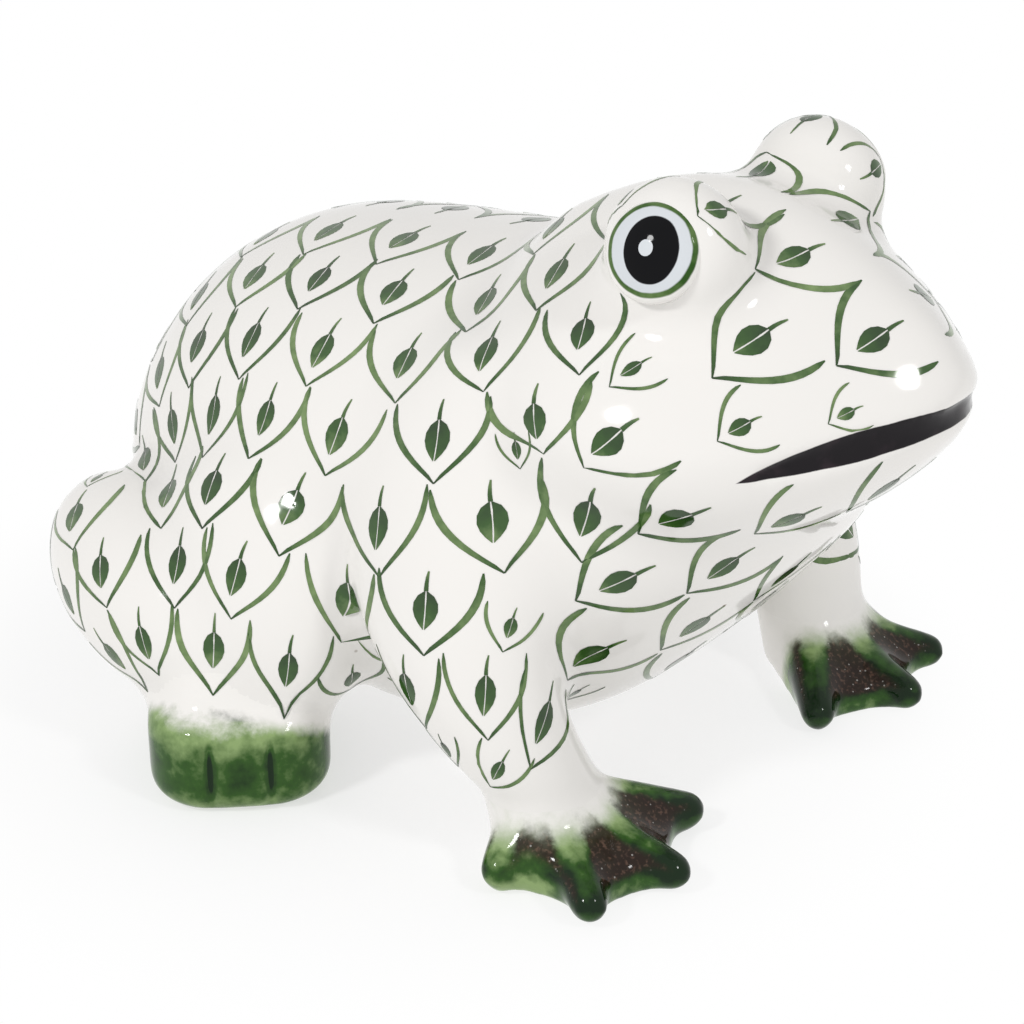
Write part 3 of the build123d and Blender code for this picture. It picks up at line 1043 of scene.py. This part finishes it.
def brushwork_tree():
    """Geometry tree that sets a painted scale on each anchor and lays it on the skin."""
    tree = bpy.data.node_groups.new("painted_scales", "GeometryNodeTree")
    tree.is_modifier = True
    for name, kind in (
        ("Geometry", "Geometry"),
        ("Skin", "Object"),
        ("Motifs", "Collection"),
        ("Paint Depth", "Float"),
        ("Paint", "Material"),
    ):
        tree.interface.new_socket(name, in_out="INPUT", socket_type=f"NodeSocket{kind}")
    tree.interface.new_socket("Geometry", in_out="OUTPUT", socket_type="NodeSocketGeometry")
    graph = Graph(tree)
    given = graph.node("NodeGroupInput").outputs
    motifs = graph.node(
        "GeometryNodeCollectionInfo",
        {"Collection": given["Motifs"], "Separate Children": True, "Reset Children": True},
    )
    turn = graph.node(
        "FunctionNodeAxesToRotation",
        {0: graph.field("across", "FLOAT_VECTOR"), 1: graph.field("along", "FLOAT_VECTOR")},
        primary_axis="X",
        secondary_axis="Y",
    )
    set_out = graph.node(
        "GeometryNodeInstanceOnPoints",
        {
            "Points": given["Geometry"],
            "Instance": motifs.outputs[0],
            "Pick Instance": True,
            "Instance Index": graph.field("variant", "INT"),
            "Rotation": turn.outputs[0],
            "Scale": graph.field("span", "FLOAT_VECTOR"),
        },
    )
    real = graph.node("GeometryNodeRealizeInstances", {"Geometry": set_out.outputs[0]})
    skin = graph.node("GeometryNodeObjectInfo", {"Object": given["Skin"]}).outputs["Geometry"]
    nearest = graph.node("GeometryNodeProximity", {0: skin}, target_element="FACES")
    facing = graph.node(
        "GeometryNodeSampleNearestSurface",
        {
            "Mesh": skin,
            "Value": graph.node("GeometryNodeInputNormal").outputs[0],
            "Sample Position": graph.node("GeometryNodeInputPosition").outputs[0],
        },
        data_type="FLOAT_VECTOR",
    ).outputs[0]
    lift = graph.math("MULTIPLY", graph.field("lift", "FLOAT"), given["Paint Depth"])
    rise = graph.node("ShaderNodeVectorMath", {0: facing, "Scale": lift}, operation="SCALE")
    landed = graph.vector("ADD", nearest.outputs["Position"], rise.outputs[0])
    flat = graph.node(
        "GeometryNodeStoreNamedAttribute",
        {"Geometry": real.outputs[0], "Name": "skin_normal", "Value": facing},
        data_type="FLOAT_VECTOR",
        domain="POINT",
    )
    laid = graph.node("GeometryNodeSetPosition", {"Geometry": flat.outputs[0], "Position": landed})
    painted = graph.node(
        "GeometryNodeSetMaterial", {"Geometry": laid.outputs[0], "Material": given["Paint"]}
    )
    graph.node("NodeGroupOutput", {"Geometry": painted.outputs[0]})
    return tree


def lay_flat(mesh):
    """Shades the top of the paint like the skin under it."""
    wanted = read(mesh.attributes["skin_normal"].data, "vector", 3)[corners_of(mesh)]
    sides = read(mesh.polygons, "loop_total", kind=np.int32)
    own = np.repeat(read(mesh.polygons, "normal", 3), sides, axis=0)
    agree = row_dots(own, wanted) > TOP_OF_PAINT
    mesh.normals_split_custom_set(np.where(agree[:, None], wanted, own))


def set_input(modifier, name, value):
    """Sets an input of a geometry modifier by the identifier of the socket with that name."""
    for item in modifier.node_group.interface.items_tree:
        if item.in_out == "INPUT" and item.name == name:
            modifier[item.identifier] = value


# Finishes


def new_group(name, inputs, **outputs):
    """Shader node group with named number inputs and named outputs: its graph, its inputs and its end."""
    tree = bpy.data.node_groups.new(name, "ShaderNodeTree")
    for label, default in inputs.items():
        socket = tree.interface.new_socket(label, in_out="INPUT", socket_type="NodeSocketFloat")
        socket.default_value = default
    for label, kind in outputs.items():
        tree.interface.new_socket(label, in_out="OUTPUT", socket_type=f"NodeSocket{kind}")
    graph = Graph(tree)
    return graph, graph.node("NodeGroupInput").outputs, graph.node("NodeGroupOutput")


def glaze_surface_group():
    """Roughness and ripple of a glaze that has flowed in the kiln, with a few pinholes."""
    existing = bpy.data.node_groups.get("glaze_surface")
    if existing:
        return existing
    inputs = {"Ripple Scale": 60.0, "Roughness": 0.06, "Unevenness": 0.05}
    graph, given, end = new_group("glaze_surface", inputs, Roughness="Float", Height="Float", Speck="Float")
    cells = graph.cells(190.0)
    chosen = graph.node("ShaderNodeSeparateColor", {0: cells["Color"]}).outputs[0]
    rare = graph.math("GREATER_THAN", chosen, 0.985)
    dot_range = {"Value": cells["Distance"], "From Min": 0.10, "From Max": 0.03}
    dot = graph.node("ShaderNodeMapRange", dot_range).outputs[0]
    rough = graph.math("MULTIPLY_ADD", graph.noise(220.0, 4.0), given["Unevenness"], given["Roughness"])
    ripple = graph.noise(given["Ripple Scale"], 2.0)
    graph.feed(end, {"Roughness": rough, "Height": ripple, "Speck": graph.math("MULTIPLY", rare, dot)})
    return graph.tree


def green_enamel_group(colours):
    """Green enamel from a thin wash at 0 to a dark pool at 1, mottled as a wet brush leaves it."""
    existing = bpy.data.node_groups.get("green_enamel")
    if existing:
        return existing
    inputs = {"Thickness": 0.5, "Mottle Scale": 700.0, "Mottle": 0.3}
    graph, given, end = new_group("green_enamel", inputs, Color="Color")
    mottle = graph.math("SUBTRACT", graph.noise(given["Mottle Scale"], 5.0), 0.5)
    depth = graph.math("MULTIPLY_ADD", mottle, given["Mottle"], given["Thickness"], clamp=True)
    ramp = graph.node("ShaderNodeValToRGB", {"Fac": depth})
    stops = ramp.color_ramp.elements
    stops[0].color = (*colours.green_thin, 1)
    stops[1].color = (*colours.green_dark, 1)
    stops.new(0.5).color = (*colours.green_mid, 1)
    graph.feed(end, {"Color": ramp.outputs["Color"]})
    return graph.tree


class Finish(Graph):
    """Material with one Principled BSDF."""

    def __init__(self, name):
        self.material = bpy.data.materials.new(name)
        self.material.use_nodes = True
        super().__init__(self.material.node_tree)
        self.tree.nodes.clear()
        self.shader = self.node("ShaderNodeBsdfPrincipled")
        self.end = self.node("ShaderNodeOutputMaterial", {"Surface": self.shader.outputs[0]})

    def flow(self, roughness, bump, shine, ripple=60.0):
        """Gives the shader a flowed glaze's gloss and ripple, and returns its specks."""
        inputs = {"Ripple Scale": ripple, "Roughness": roughness}
        glaze = self.node("ShaderNodeGroup", inputs, node_tree=glaze_surface_group()).outputs
        ripples = {"Height": glaze["Height"], "Strength": bump, "Distance": RIPPLE_DEPTH}
        relief = self.node("ShaderNodeBump", ripples)
        self.feed(
            self.shader,
            {"Roughness": glaze["Roughness"], "Normal": relief.outputs[0], "Specular IOR Level": shine},
        )
        return glaze["Speck"]

    def enamel(self, colours, thickness, mottle, scale):
        """Colour of green enamel of some thickness."""
        inputs = {"Thickness": thickness, "Mottle": mottle, "Mottle Scale": scale}
        return self.node("ShaderNodeGroup", inputs, node_tree=green_enamel_group(colours)).outputs["Color"]

    def coloured(self, tone):
        """The material, with its base colour."""
        self.feed(self.shader, {"Base Color": tone})
        return self.material


def circle_through(a, b, c):
    """Middle and radius of the circle through three points of a plane."""
    (ax, ay), (bx, by), (cx, cy) = a, b, c
    turn = 2 * (ax * (by - cy) + bx * (cy - ay) + cx * (ay - by))
    aa, bb, cc = ax * ax + ay * ay, bx * bx + by * by, cx * cx + cy * cy
    x = (aa * (by - cy) + bb * (cy - ay) + cc * (ay - by)) / turn
    y = (aa * (cx - bx) + bb * (ax - cx) + cc * (bx - ax)) / turn
    return (x, y), math.hypot(ax - x, ay - y)


def mouth_mask(finish, sizes):
    """Share of black paint: 1 between the two lips' arcs, with a hand-painted edge."""
    corner, (front_x, front_z) = tuple(sizes.mouth_corner), sizes.mouth_front
    middle_x, middle_z = (corner[0] + front_x) / 2, (corner[1] + front_z) / 2
    half = sizes.mouth_gap / 2
    flat = finish.vector("MULTIPLY", finish.place, (1, 0, 1))
    outside = []
    for bow, lip in ((half / 2 + sizes.mouth_arch, half), (-half / 2 - sizes.mouth_sag, -half)):
        (x, z), radius = circle_through(corner, (middle_x, middle_z + bow), (front_x, front_z + lip))
        reach = finish.vector("DISTANCE", flat, (x, 0, z), output="Value")
        outside.append(finish.math("SUBTRACT", reach, radius))
    edge = finish.weighted(finish.math("MAXIMUM", *outside), (0.4 * MM, finish.noise(150.0, 1.0)))
    return finish.step(edge, 0.30 * MM, 0.10 * MM)


def white_glaze(name, sizes, colours, with_mouth=False):
    """Glossy warm white, greyer in creases as pooled glaze and painted shade, with a few iron specks."""
    finish = Finish(name)
    speck = finish.flow(0.06, 0.05, WHITE_SHINE)
    # Greyer in hollows and creases: partly glaze pooled there, partly painted shade where creases fall into
    # shadow
    pool = finish.math("MULTIPLY", finish.attribute("relief"), -0.8, clamp=True)
    tone = finish.mix(pool, colours.white, colours.pooled_grey_and_shade)
    cloud = finish.math("MULTIPLY", finish.noise(35.0, 2.0), 0.16)
    tone = finish.mix(cloud, tone, colours.pooled_grey_and_shade)
    tone = finish.mix(speck, tone, colours.speck)
    if with_mouth:
        # Purple-brown patches in the mouth's black: partly the paint's own tint, partly a painted sheen
        thin = finish.step(finish.noise(160.0, 3.0), 0.5, 0.75)
        black = finish.mix(thin, colours.mouth, colours.mouth_tint_and_sheen)
        tone = finish.mix(mouth_mask(finish, sizes), tone, black)
    return finish.coloured(tone)


def foot_finish(name):
    """Finish of a foot, with its height above the ground, its upper side, and a ragged noise about 0."""
    finish = Finish(name)
    finish.flow(0.06, 0.12, GREEN_SHINE, ripple=140.0)
    height = finish.node("ShaderNodeSeparateXYZ", {0: finish.place}).outputs["Z"]
    facing = finish.node("ShaderNodeNewGeometry").outputs["Normal"]
    upward = finish.node("ShaderNodeSeparateXYZ", {0: facing}).outputs["Z"]
    ragged = finish.math("SUBTRACT", finish.noise(260.0, 8.0, Roughness=0.65), 0.5)
    return finish, height, finish.step(upward, 0.25, 0.65), ragged


def hind_foot_glaze(colours):
    """Green wash from a ragged edge at mid-height, dark in the scored toe lines, thinner at the sole."""
    finish, height, _, ragged = foot_finish("hind_foot_glaze")
    relief = finish.attribute("relief")
    ridge, hollow = finish.step(relief, 0.05, 0.6), finish.step(relief, -0.05, -0.5)
    sole = finish.step(height, 4.5 * MM, 2.0 * MM)
    edge = finish.weighted(height, (4.5 * MM, ragged), (5.0 * MM, finish.noise(60.0, 1.0)))
    inset = finish.weighted(finish.attribute("inset"), (3.0 * MM, ragged))
    below_edge = finish.step(edge, 20.4 * MM, 17.6 * MM)
    wash = finish.math("MULTIPLY", below_edge, finish.step(inset, 1.2 * MM, 4.0 * MM))
    pooling = finish.step(edge, 20.0 * MM, 12.0 * MM)
    depth = finish.weighted(0.14, (0.56, pooling), (0.85, hollow), (-0.20, ridge), (-0.22, sole))
    return finish.coloured(finish.mix(wash, colours.white, finish.enamel(colours, depth, 0.85, 400.0)))


def beside_toes(finish, sizes):
    """Distance from the wrist over the ground, and distance aside from the nearest toe's crest."""
    either_side = finish.vector("MULTIPLY", finish.vector("ABSOLUTE", finish.place), (0, 1, 0))
    flat = finish.vector("ADD", either_side, finish.vector("MULTIPLY", finish.place, (1, 0, 0)))
    spread = finish.vector("SUBTRACT", flat, (*sizes.wrist, 0))
    reach = finish.vector("LENGTH", spread, output="Value")
    ways = finish.node("ShaderNodeSeparateXYZ", {0: spread}).outputs
    heading = finish.math("ARCTAN2", ways["Y"], ways["X"])
    nearest = math.pi
    for toe in sizes.toe_headings:
        gap = finish.math("ABSOLUTE", finish.math("SUBTRACT", heading, toe))
        nearest = finish.math("MINIMUM", gap, nearest)
    return reach, finish.math("MULTIPLY", nearest, reach)


def fore_foot_glaze(sizes, colours):
    """Green that starts at the ankle, thin on the toe ridges and at the ground, with brown on the webs."""
    finish, height, top, ragged = foot_finish("fore_foot_glaze")
    reach, aside = beside_toes(finish, sizes)
    edge = finish.weighted(reach, (3.6 * MM, ragged))
    crest = finish.math("MULTIPLY", finish.step(aside, 2.6 * MM, 0.9 * MM), top)
    steep = finish.math("SUBTRACT", 1.0, top)
    rim = finish.math("MULTIPLY", steep, finish.step(height, 5.5 * MM, 2.5 * MM))
    pooling, toes = finish.step(edge, 10.5 * MM, 19.0 * MM), finish.step(edge, 20.0 * MM, 25.0 * MM)
    depth = finish.weighted(0.06, (0.90, pooling), (-0.34, crest), (0.36, toes), (-0.55, rim))
    wash = finish.step(edge, 9.8 * MM, 14.5 * MM)
    tone = finish.mix(wash, colours.white, finish.enamel(colours, depth, 1.15, 380.0))

    between_toes = finish.weighted(aside, (3.0 * MM, ragged))
    web = top
    for value, low, high in (
        (edge, 10.5 * MM, 13.5 * MM),
        (edge, 26.5 * MM, 23.0 * MM),
        (between_toes, 1.8 * MM, 3.2 * MM),
    ):
        web = finish.math("MULTIPLY", web, finish.step(value, low, high))
    grain = finish.step(finish.noise(1300.0, 3.0), 0.50, 0.72)
    burnt = finish.mix(grain, colours.web, colours.web_light)
    tone = finish.mix(finish.math("MULTIPLY", web, 0.93), tone, burnt)
    # Tiny white dots on the webs: painted glints, which stand in for highlights
    painted_glint = finish.step(finish.cells(700.0)["Distance"], 0.15, 0.07)
    painted_glint = finish.math("MULTIPLY", painted_glint, finish.math("MULTIPLY", web, 0.35))
    return finish.coloured(finish.mix(painted_glint, tone, colours.white))


def brush_paint(colours):
    """Green of the brush lines, dark where the brush stopped and thin where it ran dry."""
    finish = Finish("brush_paint")
    finish.flow(0.05, 0.05, BRUSH_SHINE)
    depth = finish.weighted(finish.attribute("ink"), (0.10, finish.attribute("tone")))
    return finish.coloured(finish.enamel(colours, depth, 0.5, 500.0))


def eye_enamel(colours):
    """Painted eye, in millimetres on its disc: a green ring, a bluish white, a pupil and a white dot."""
    finish = Finish("eye_enamel")
    finish.flow(0.03, 0.03, EYE_SHINE)
    disc = finish.attribute("disc", "Vector")
    shake = finish.weighted(-0.45, (0.9, finish.noise(240.0, 2.0)))

    def inside(x, y, across, up, wobble):
        spread = finish.vector("SUBTRACT", disc, (x, y, 0))
        even = finish.vector("MULTIPLY", spread, (1 / across, 1 / up, 0))
        edge = finish.math("SUBTRACT", finish.vector("LENGTH", even, output="Value"), 1.0)
        return finish.step(finish.weighted(edge, (wobble, shake)), 0.02, -0.02)

    green = finish.enamel(colours, 0.42, 0.7, 300.0)
    tone = finish.mix(inside(0.4, 0.4, 6.45, 6.4, 0.08), green, colours.eye_white)
    tone = finish.mix(inside(0.8, 0.4, 4.35, 5.1, 0.05), tone, colours.pupil)
    tone = finish.mix(inside(0.2, 0.6, 1.15, 1.25, 0.10), tone, colours.eye_white)
    tone = finish.mix(inside(0.4, 0.4, 7.25, 7.2, 0.06), colours.white, tone)
    return finish.coloured(tone)


# Operators


class FROG_OT_soften_skin(Operator):
    """Joins the castings into one skin and softens its seams"""

    bl_idname = "frog.soften_skin"
    bl_label = "Soften Skin"

    def execute(self, context):
        sizes = context.scene.frog_sizes
        skin = Skin(remeshed(joined_castings(sizes), sizes.voxel))
        owner, seam = casting_of_points(skin.points)
        skin.soften(sizes, owner, seam)
        mesh = bpy.data.meshes.new("skin")
        mesh.from_pydata(skin.points, [], skin.quads.tolist())
        votes = np.stack([(owner[skin.quads] == k).sum(axis=1) for k in range(len(CASTINGS))], axis=1)
        store(mesh, "casting", "INT", votes.argmax(axis=1), "FACE")
        store(mesh, "relief", "FLOAT", skin.relief())
        store(mesh, "skin_normal", "FLOAT_VECTOR", skin.normals())
        mesh.shade_smooth()
        shown_object("skin", mesh).hide_render = True
        return {"FINISHED"}


class FROG_OT_glaze_body(Operator):
    """Cuts the body's pieces from the skin and glazes them white"""

    bl_idname = "frog.glaze_body"
    bl_label = "Glaze Body"

    def execute(self, context):
        sizes, colours = context.scene.frog_sizes, context.scene.frog_colours
        plain = white_glaze("white_glaze", sizes, colours)
        face = white_glaze("face_glaze", sizes, colours, with_mouth=True)
        for node in CASTINGS:
            if node not in FEET:
                piece = casting_piece(bpy.data.objects["skin"], node)
                dress(piece, face if node == "head_shell" else plain, "white_glaze", node)
        return {"FINISHED"}


class FROG_OT_glaze_feet(Operator):
    """Cuts the feet from the skin and gives them their green wash"""

    bl_idname = "frog.glaze_feet"
    bl_label = "Glaze Feet"

    def execute(self, context):
        sizes, colours = context.scene.frog_sizes, context.scene.frog_colours
        glazes = {"fore_foot": fore_foot_glaze(sizes, colours), "hind_foot": hind_foot_glaze(colours)}
        for node in FEET:
            piece = casting_piece(bpy.data.objects["skin"], node)
            dress(piece, glazes[kind_of(node)], "green_glaze", node)
        return {"FINISHED"}


class FROG_OT_paint_eyes(Operator):
    """Makes the domed eye buttons with their painted rings, pupils and dots"""

    bl_idname = "frog.paint_eyes"
    bl_label = "Paint Eyes"

    rings = 28
    rim_rings = 6
    spokes = 72
    easing = 0.9 * MM

    def execute(self, context):
        sizes = context.scene.frog_sizes
        enamel = eye_enamel(context.scene.frog_colours)
        for node in EYES:
            mesh = self.dome(sizes, node)
            dress(shown_object(f"{node}_painted", mesh), enamel, "eye_glaze", node)
        return {"FINISHED"}

    def profile(self, sizes):
        """Rings from the apex to the foot: radius, walk over the surface and drop below the apex."""
        rim, easing = sizes.eye_diameter / 2, self.easing
        rings = []
        for k in range(1, self.rings + 1):
            reach = (rim - easing) * k / self.rings
            rings.append((reach, reach, sizes.eye_dome - math.sqrt(sizes.eye_dome**2 - reach**2)))
        edge, _, fall = rings[-1]
        for k in range(1, self.rim_rings + 1):
            turn = math.pi / 2 * k / self.rim_rings
            drop = fall + easing * (1 - math.cos(turn)) + 0.6 * easing * math.sin(turn)
            rings.append((edge + easing * math.sin(turn), edge + easing * turn, drop))
        rings.append((rim, rings[-1][1] + easing, sizes.eye_depth))
        return rings

    def dome(self, sizes, node):
        """Closed dome with a rounded rim, and a foot inside the mound."""
        apex, across, up, out = eye_frame(sizes, node)
        profile = self.profile(sizes)
        points, disc, faces = [apex], [(0, 0, 0)], []
        for reach, walked, drop in profile:
            for k in range(self.spokes):
                turn = 2 * math.pi * k / self.spokes
                spoke = across * math.cos(turn) + up * math.sin(turn)
                points.append(apex + spoke * reach - out * drop)
                disc.append((walked / MM * math.cos(turn), walked / MM * math.sin(turn), 0))
        hub = len(points)
        points.append(apex - out * sizes.eye_depth)
        disc.append((0, 0, 0))
        last = hub - self.spokes
        for k in range(self.spokes):
            after = (k + 1) % self.spokes
            faces.append((0, 1 + k, 1 + after))
            for a in range(1, last, self.spokes):
                b = a + self.spokes
                faces.append((a + k, b + k, b + after, a + after))
        faces += [(last + (k + 1) % self.spokes, last + k, hub) for k in range(self.spokes)]
        mesh = bpy.data.meshes.new(f"{node}_painted")
        mesh.from_pydata(points, [], faces)
        store(mesh, "disc", "FLOAT_VECTOR", disc)
        mesh.shade_smooth()
        return mesh


class FROG_OT_paint_scales(Operator):
    """Paints staggered rows of leaf scales from the spine down to the belly and the ankles"""

    bl_idname = "frog.paint_scales"
    bl_label = "Paint Scales"

    variants = 5
    paint_depth = 1.0

    def execute(self, context):
        sizes = context.scene.frog_sizes
        skin = bpy.data.objects["skin"]
        hand = np.random.default_rng(sizes.brush_seed + 1)
        motifs = bpy.data.collections.new("scale_motifs")
        for k in range(self.variants):
            name = f"scale_motif_{k}"
            motifs.objects.link(bpy.data.objects.new(name, scale_motif(name, sizes, hand)))
        holder = shown_object("scale_anchors", anchor_mesh(ScaleGround(skin, sizes), self.variants))
        modifier = holder.modifiers.new("painted_scales", "NODES")
        modifier.node_group = brushwork_tree()
        paint = brush_paint(context.scene.frog_colours)
        set_input(modifier, "Skin", skin)
        set_input(modifier, "Motifs", motifs)
        set_input(modifier, "Paint Depth", self.paint_depth)
        set_input(modifier, "Paint", paint)
        mesh = evaluated_mesh(holder)
        mesh.name = "painted_scales"
        mesh.vertices.foreach_set("co", inside_box(read(mesh.vertices, "co", 3)).ravel())
        mesh.shade_smooth()
        lay_flat(mesh)
        for helper in (holder, *motifs.objects):
            bpy.data.objects.remove(helper)
        bpy.data.collections.remove(motifs)
        dress(shown_object("painted_scales", mesh), paint, "green_glaze")
        return {"FINISHED"}


class FROG_OT_set_stage(Operator):
    """Sets the white floor, the soft lamps, the white surroundings and the camera"""

    bl_idname = "frog.set_stage"
    bl_label = "Set Stage"

    azimuth = math.radians(38.94)
    elevation = math.radians(26.51)
    distance = 449.33 * MM
    target = Vector((-5.0, 0.0, 34.5)) * MM
    focal_pixels = 2500
    image_pixels = 1024
    lamp_elevation = math.radians(40)
    lamp_distance = 0.8
    lamp_size = 0.12
    floor_half = 3.0
    glow = 0.6
    shade = Vector((-20.0, -10.0, 0.0)) * MM
    shade_reach = (0.04, 0.11)
    room_light = 0.5

    def execute(self, context):
        self.floor(context.scene.frog_colours)
        self.surroundings(context.scene)
        self.lamp("left_softbox", math.radians(-10), 2.3)
        self.lamp("right_softbox", math.radians(85), 1.25)
        self.camera(context.scene)
        context.scene.view_settings.view_transform = "Standard"
        return {"FINISHED"}

    def floor(self, colours):
        """Light table: a pale sheet lit from below, which keeps a soft shadow round the figurine."""
        mesh = bpy.data.meshes.new("floor")
        half = self.floor_half
        corners = [(x * half, y * half, 0) for x, y in ((-1, -1), (1, -1), (1, 1), (-1, 1))]
        mesh.from_pydata(corners, [], [(0, 1, 2, 3)])
        floor = shown_object("floor", mesh)
        paper = Finish("paper")
        paper.feed(
            paper.shader,
            {"Base Color": (*colours.floor, 1.0), "Roughness": 0.9, "Specular IOR Level": 0.0},
        )
        white = paper.node("ShaderNodeEmission", {"Color": (1, 1, 1, 1), "Strength": 1.0})
        reach = paper.vector("DISTANCE", paper.place, self.shade, output="Value")
        away = paper.step(reach, *self.shade_reach)
        share = paper.weighted(self.glow, (1 - self.glow, away))
        mix = paper.node("ShaderNodeMixShader", {0: share, 1: paper.shader.outputs[0], 2: white.outputs[0]})
        paper.feed(paper.end, {"Surface": mix.outputs[0]})
        mesh.materials.append(paper.material)

    def surroundings(self, scene):
        """Even white light all round, seen as full white by the camera and in reflections."""
        world = bpy.data.worlds.new("white_room")
        world.use_nodes = True
        world.node_tree.nodes.clear()
        graph = Graph(world.node_tree)
        path = graph.node("ShaderNodeLightPath").outputs
        seen = graph.math("MAXIMUM", path["Is Camera Ray"], path["Is Glossy Ray"])
        seen = graph.math("MAXIMUM", seen, path["Is Transmission Ray"])
        levels = {"Value": seen, "To Min": self.room_light, "To Max": 1.0}
        strength = graph.node("ShaderNodeMapRange", levels)
        sky = graph.node("ShaderNodeBackground", {"Color": (1, 1, 1, 1), "Strength": strength.outputs[0]})
        graph.node("ShaderNodeOutputWorld", {"Surface": sky.outputs[0]})
        scene.world = world

    def lamp(self, name, azimuth, power):
        """Round softbox that faces the figurine."""
        light = bpy.data.lights.new(name, "AREA")
        light.shape = "DISK"
        light.size = self.lamp_size
        light.energy = power
        self.aim(bpy.data.objects.new(name, light), azimuth, self.lamp_elevation, self.lamp_distance)

    def aim(self, obj, azimuth, elevation, distance):
        """Places an object round the figurine and turns it to face it."""
        level = math.cos(elevation)
        back = Vector((math.sin(azimuth) * level, -math.cos(azimuth) * level, math.sin(elevation)))
        obj.location = self.target + back * distance
        obj.rotation_euler = (-back).to_track_quat("-Z", "Y").to_euler()
        bpy.context.scene.collection.objects.link(obj)

    def camera(self, scene):
        """Camera at the photograph's viewing angle."""
        data = bpy.data.cameras.new("camera")
        data.lens = data.sensor_width * self.focal_pixels / self.image_pixels
        data.clip_start = 0.01
        camera = bpy.data.objects.new("camera", data)
        self.aim(camera, self.azimuth, self.elevation, self.distance)
        scene.camera = camera


class FROG_PT_figurine(Panel):
    """Sizes, colours and steps of the figurine"""

    bl_idname = "FROG_PT_figurine"
    bl_label = "Frog Figurine"
    bl_space_type = "VIEW_3D"
    bl_region_type = "UI"
    bl_category = "Frog"

    def draw(self, context):
        for step in STEPS:
            self.layout.operator(step.bl_idname)
        for group in (context.scene.frog_sizes, context.scene.frog_colours):
            for name in group.bl_rna.properties.keys():
                if name not in {"rna_type", "name"}:
                    self.layout.prop(group, name)


STEPS = (
    FROG_OT_soften_skin,
    FROG_OT_glaze_body,
    FROG_OT_glaze_feet,
    FROG_OT_paint_eyes,
    FROG_OT_paint_scales,
    FROG_OT_set_stage,
)
CLASSES = (FrogSizes, FrogColours, *STEPS, FROG_PT_figurine)


def register():
    """Adds the classes and the settings to Blender."""
    for cls in CLASSES:
        bpy.utils.register_class(cls)
    bpy.types.Scene.frog_sizes = PointerProperty(type=FrogSizes)
    bpy.types.Scene.frog_colours = PointerProperty(type=FrogColours)


def unregister():
    """Takes the classes and the settings out of Blender."""
    del bpy.types.Scene.frog_colours
    del bpy.types.Scene.frog_sizes
    for cls in reversed(CLASSES):
        bpy.utils.unregister_class(cls)


def main():
    """Runs every step."""
    register()
    bpy.ops.frog.soften_skin()
    bpy.ops.frog.glaze_body()
    bpy.ops.frog.glaze_feet()
    bpy.ops.frog.paint_eyes()
    bpy.ops.frog.paint_scales()
    bpy.data.objects.remove(bpy.data.objects["skin"])
    bpy.ops.frog.set_stage()


if __name__ == "__main__":
    main()
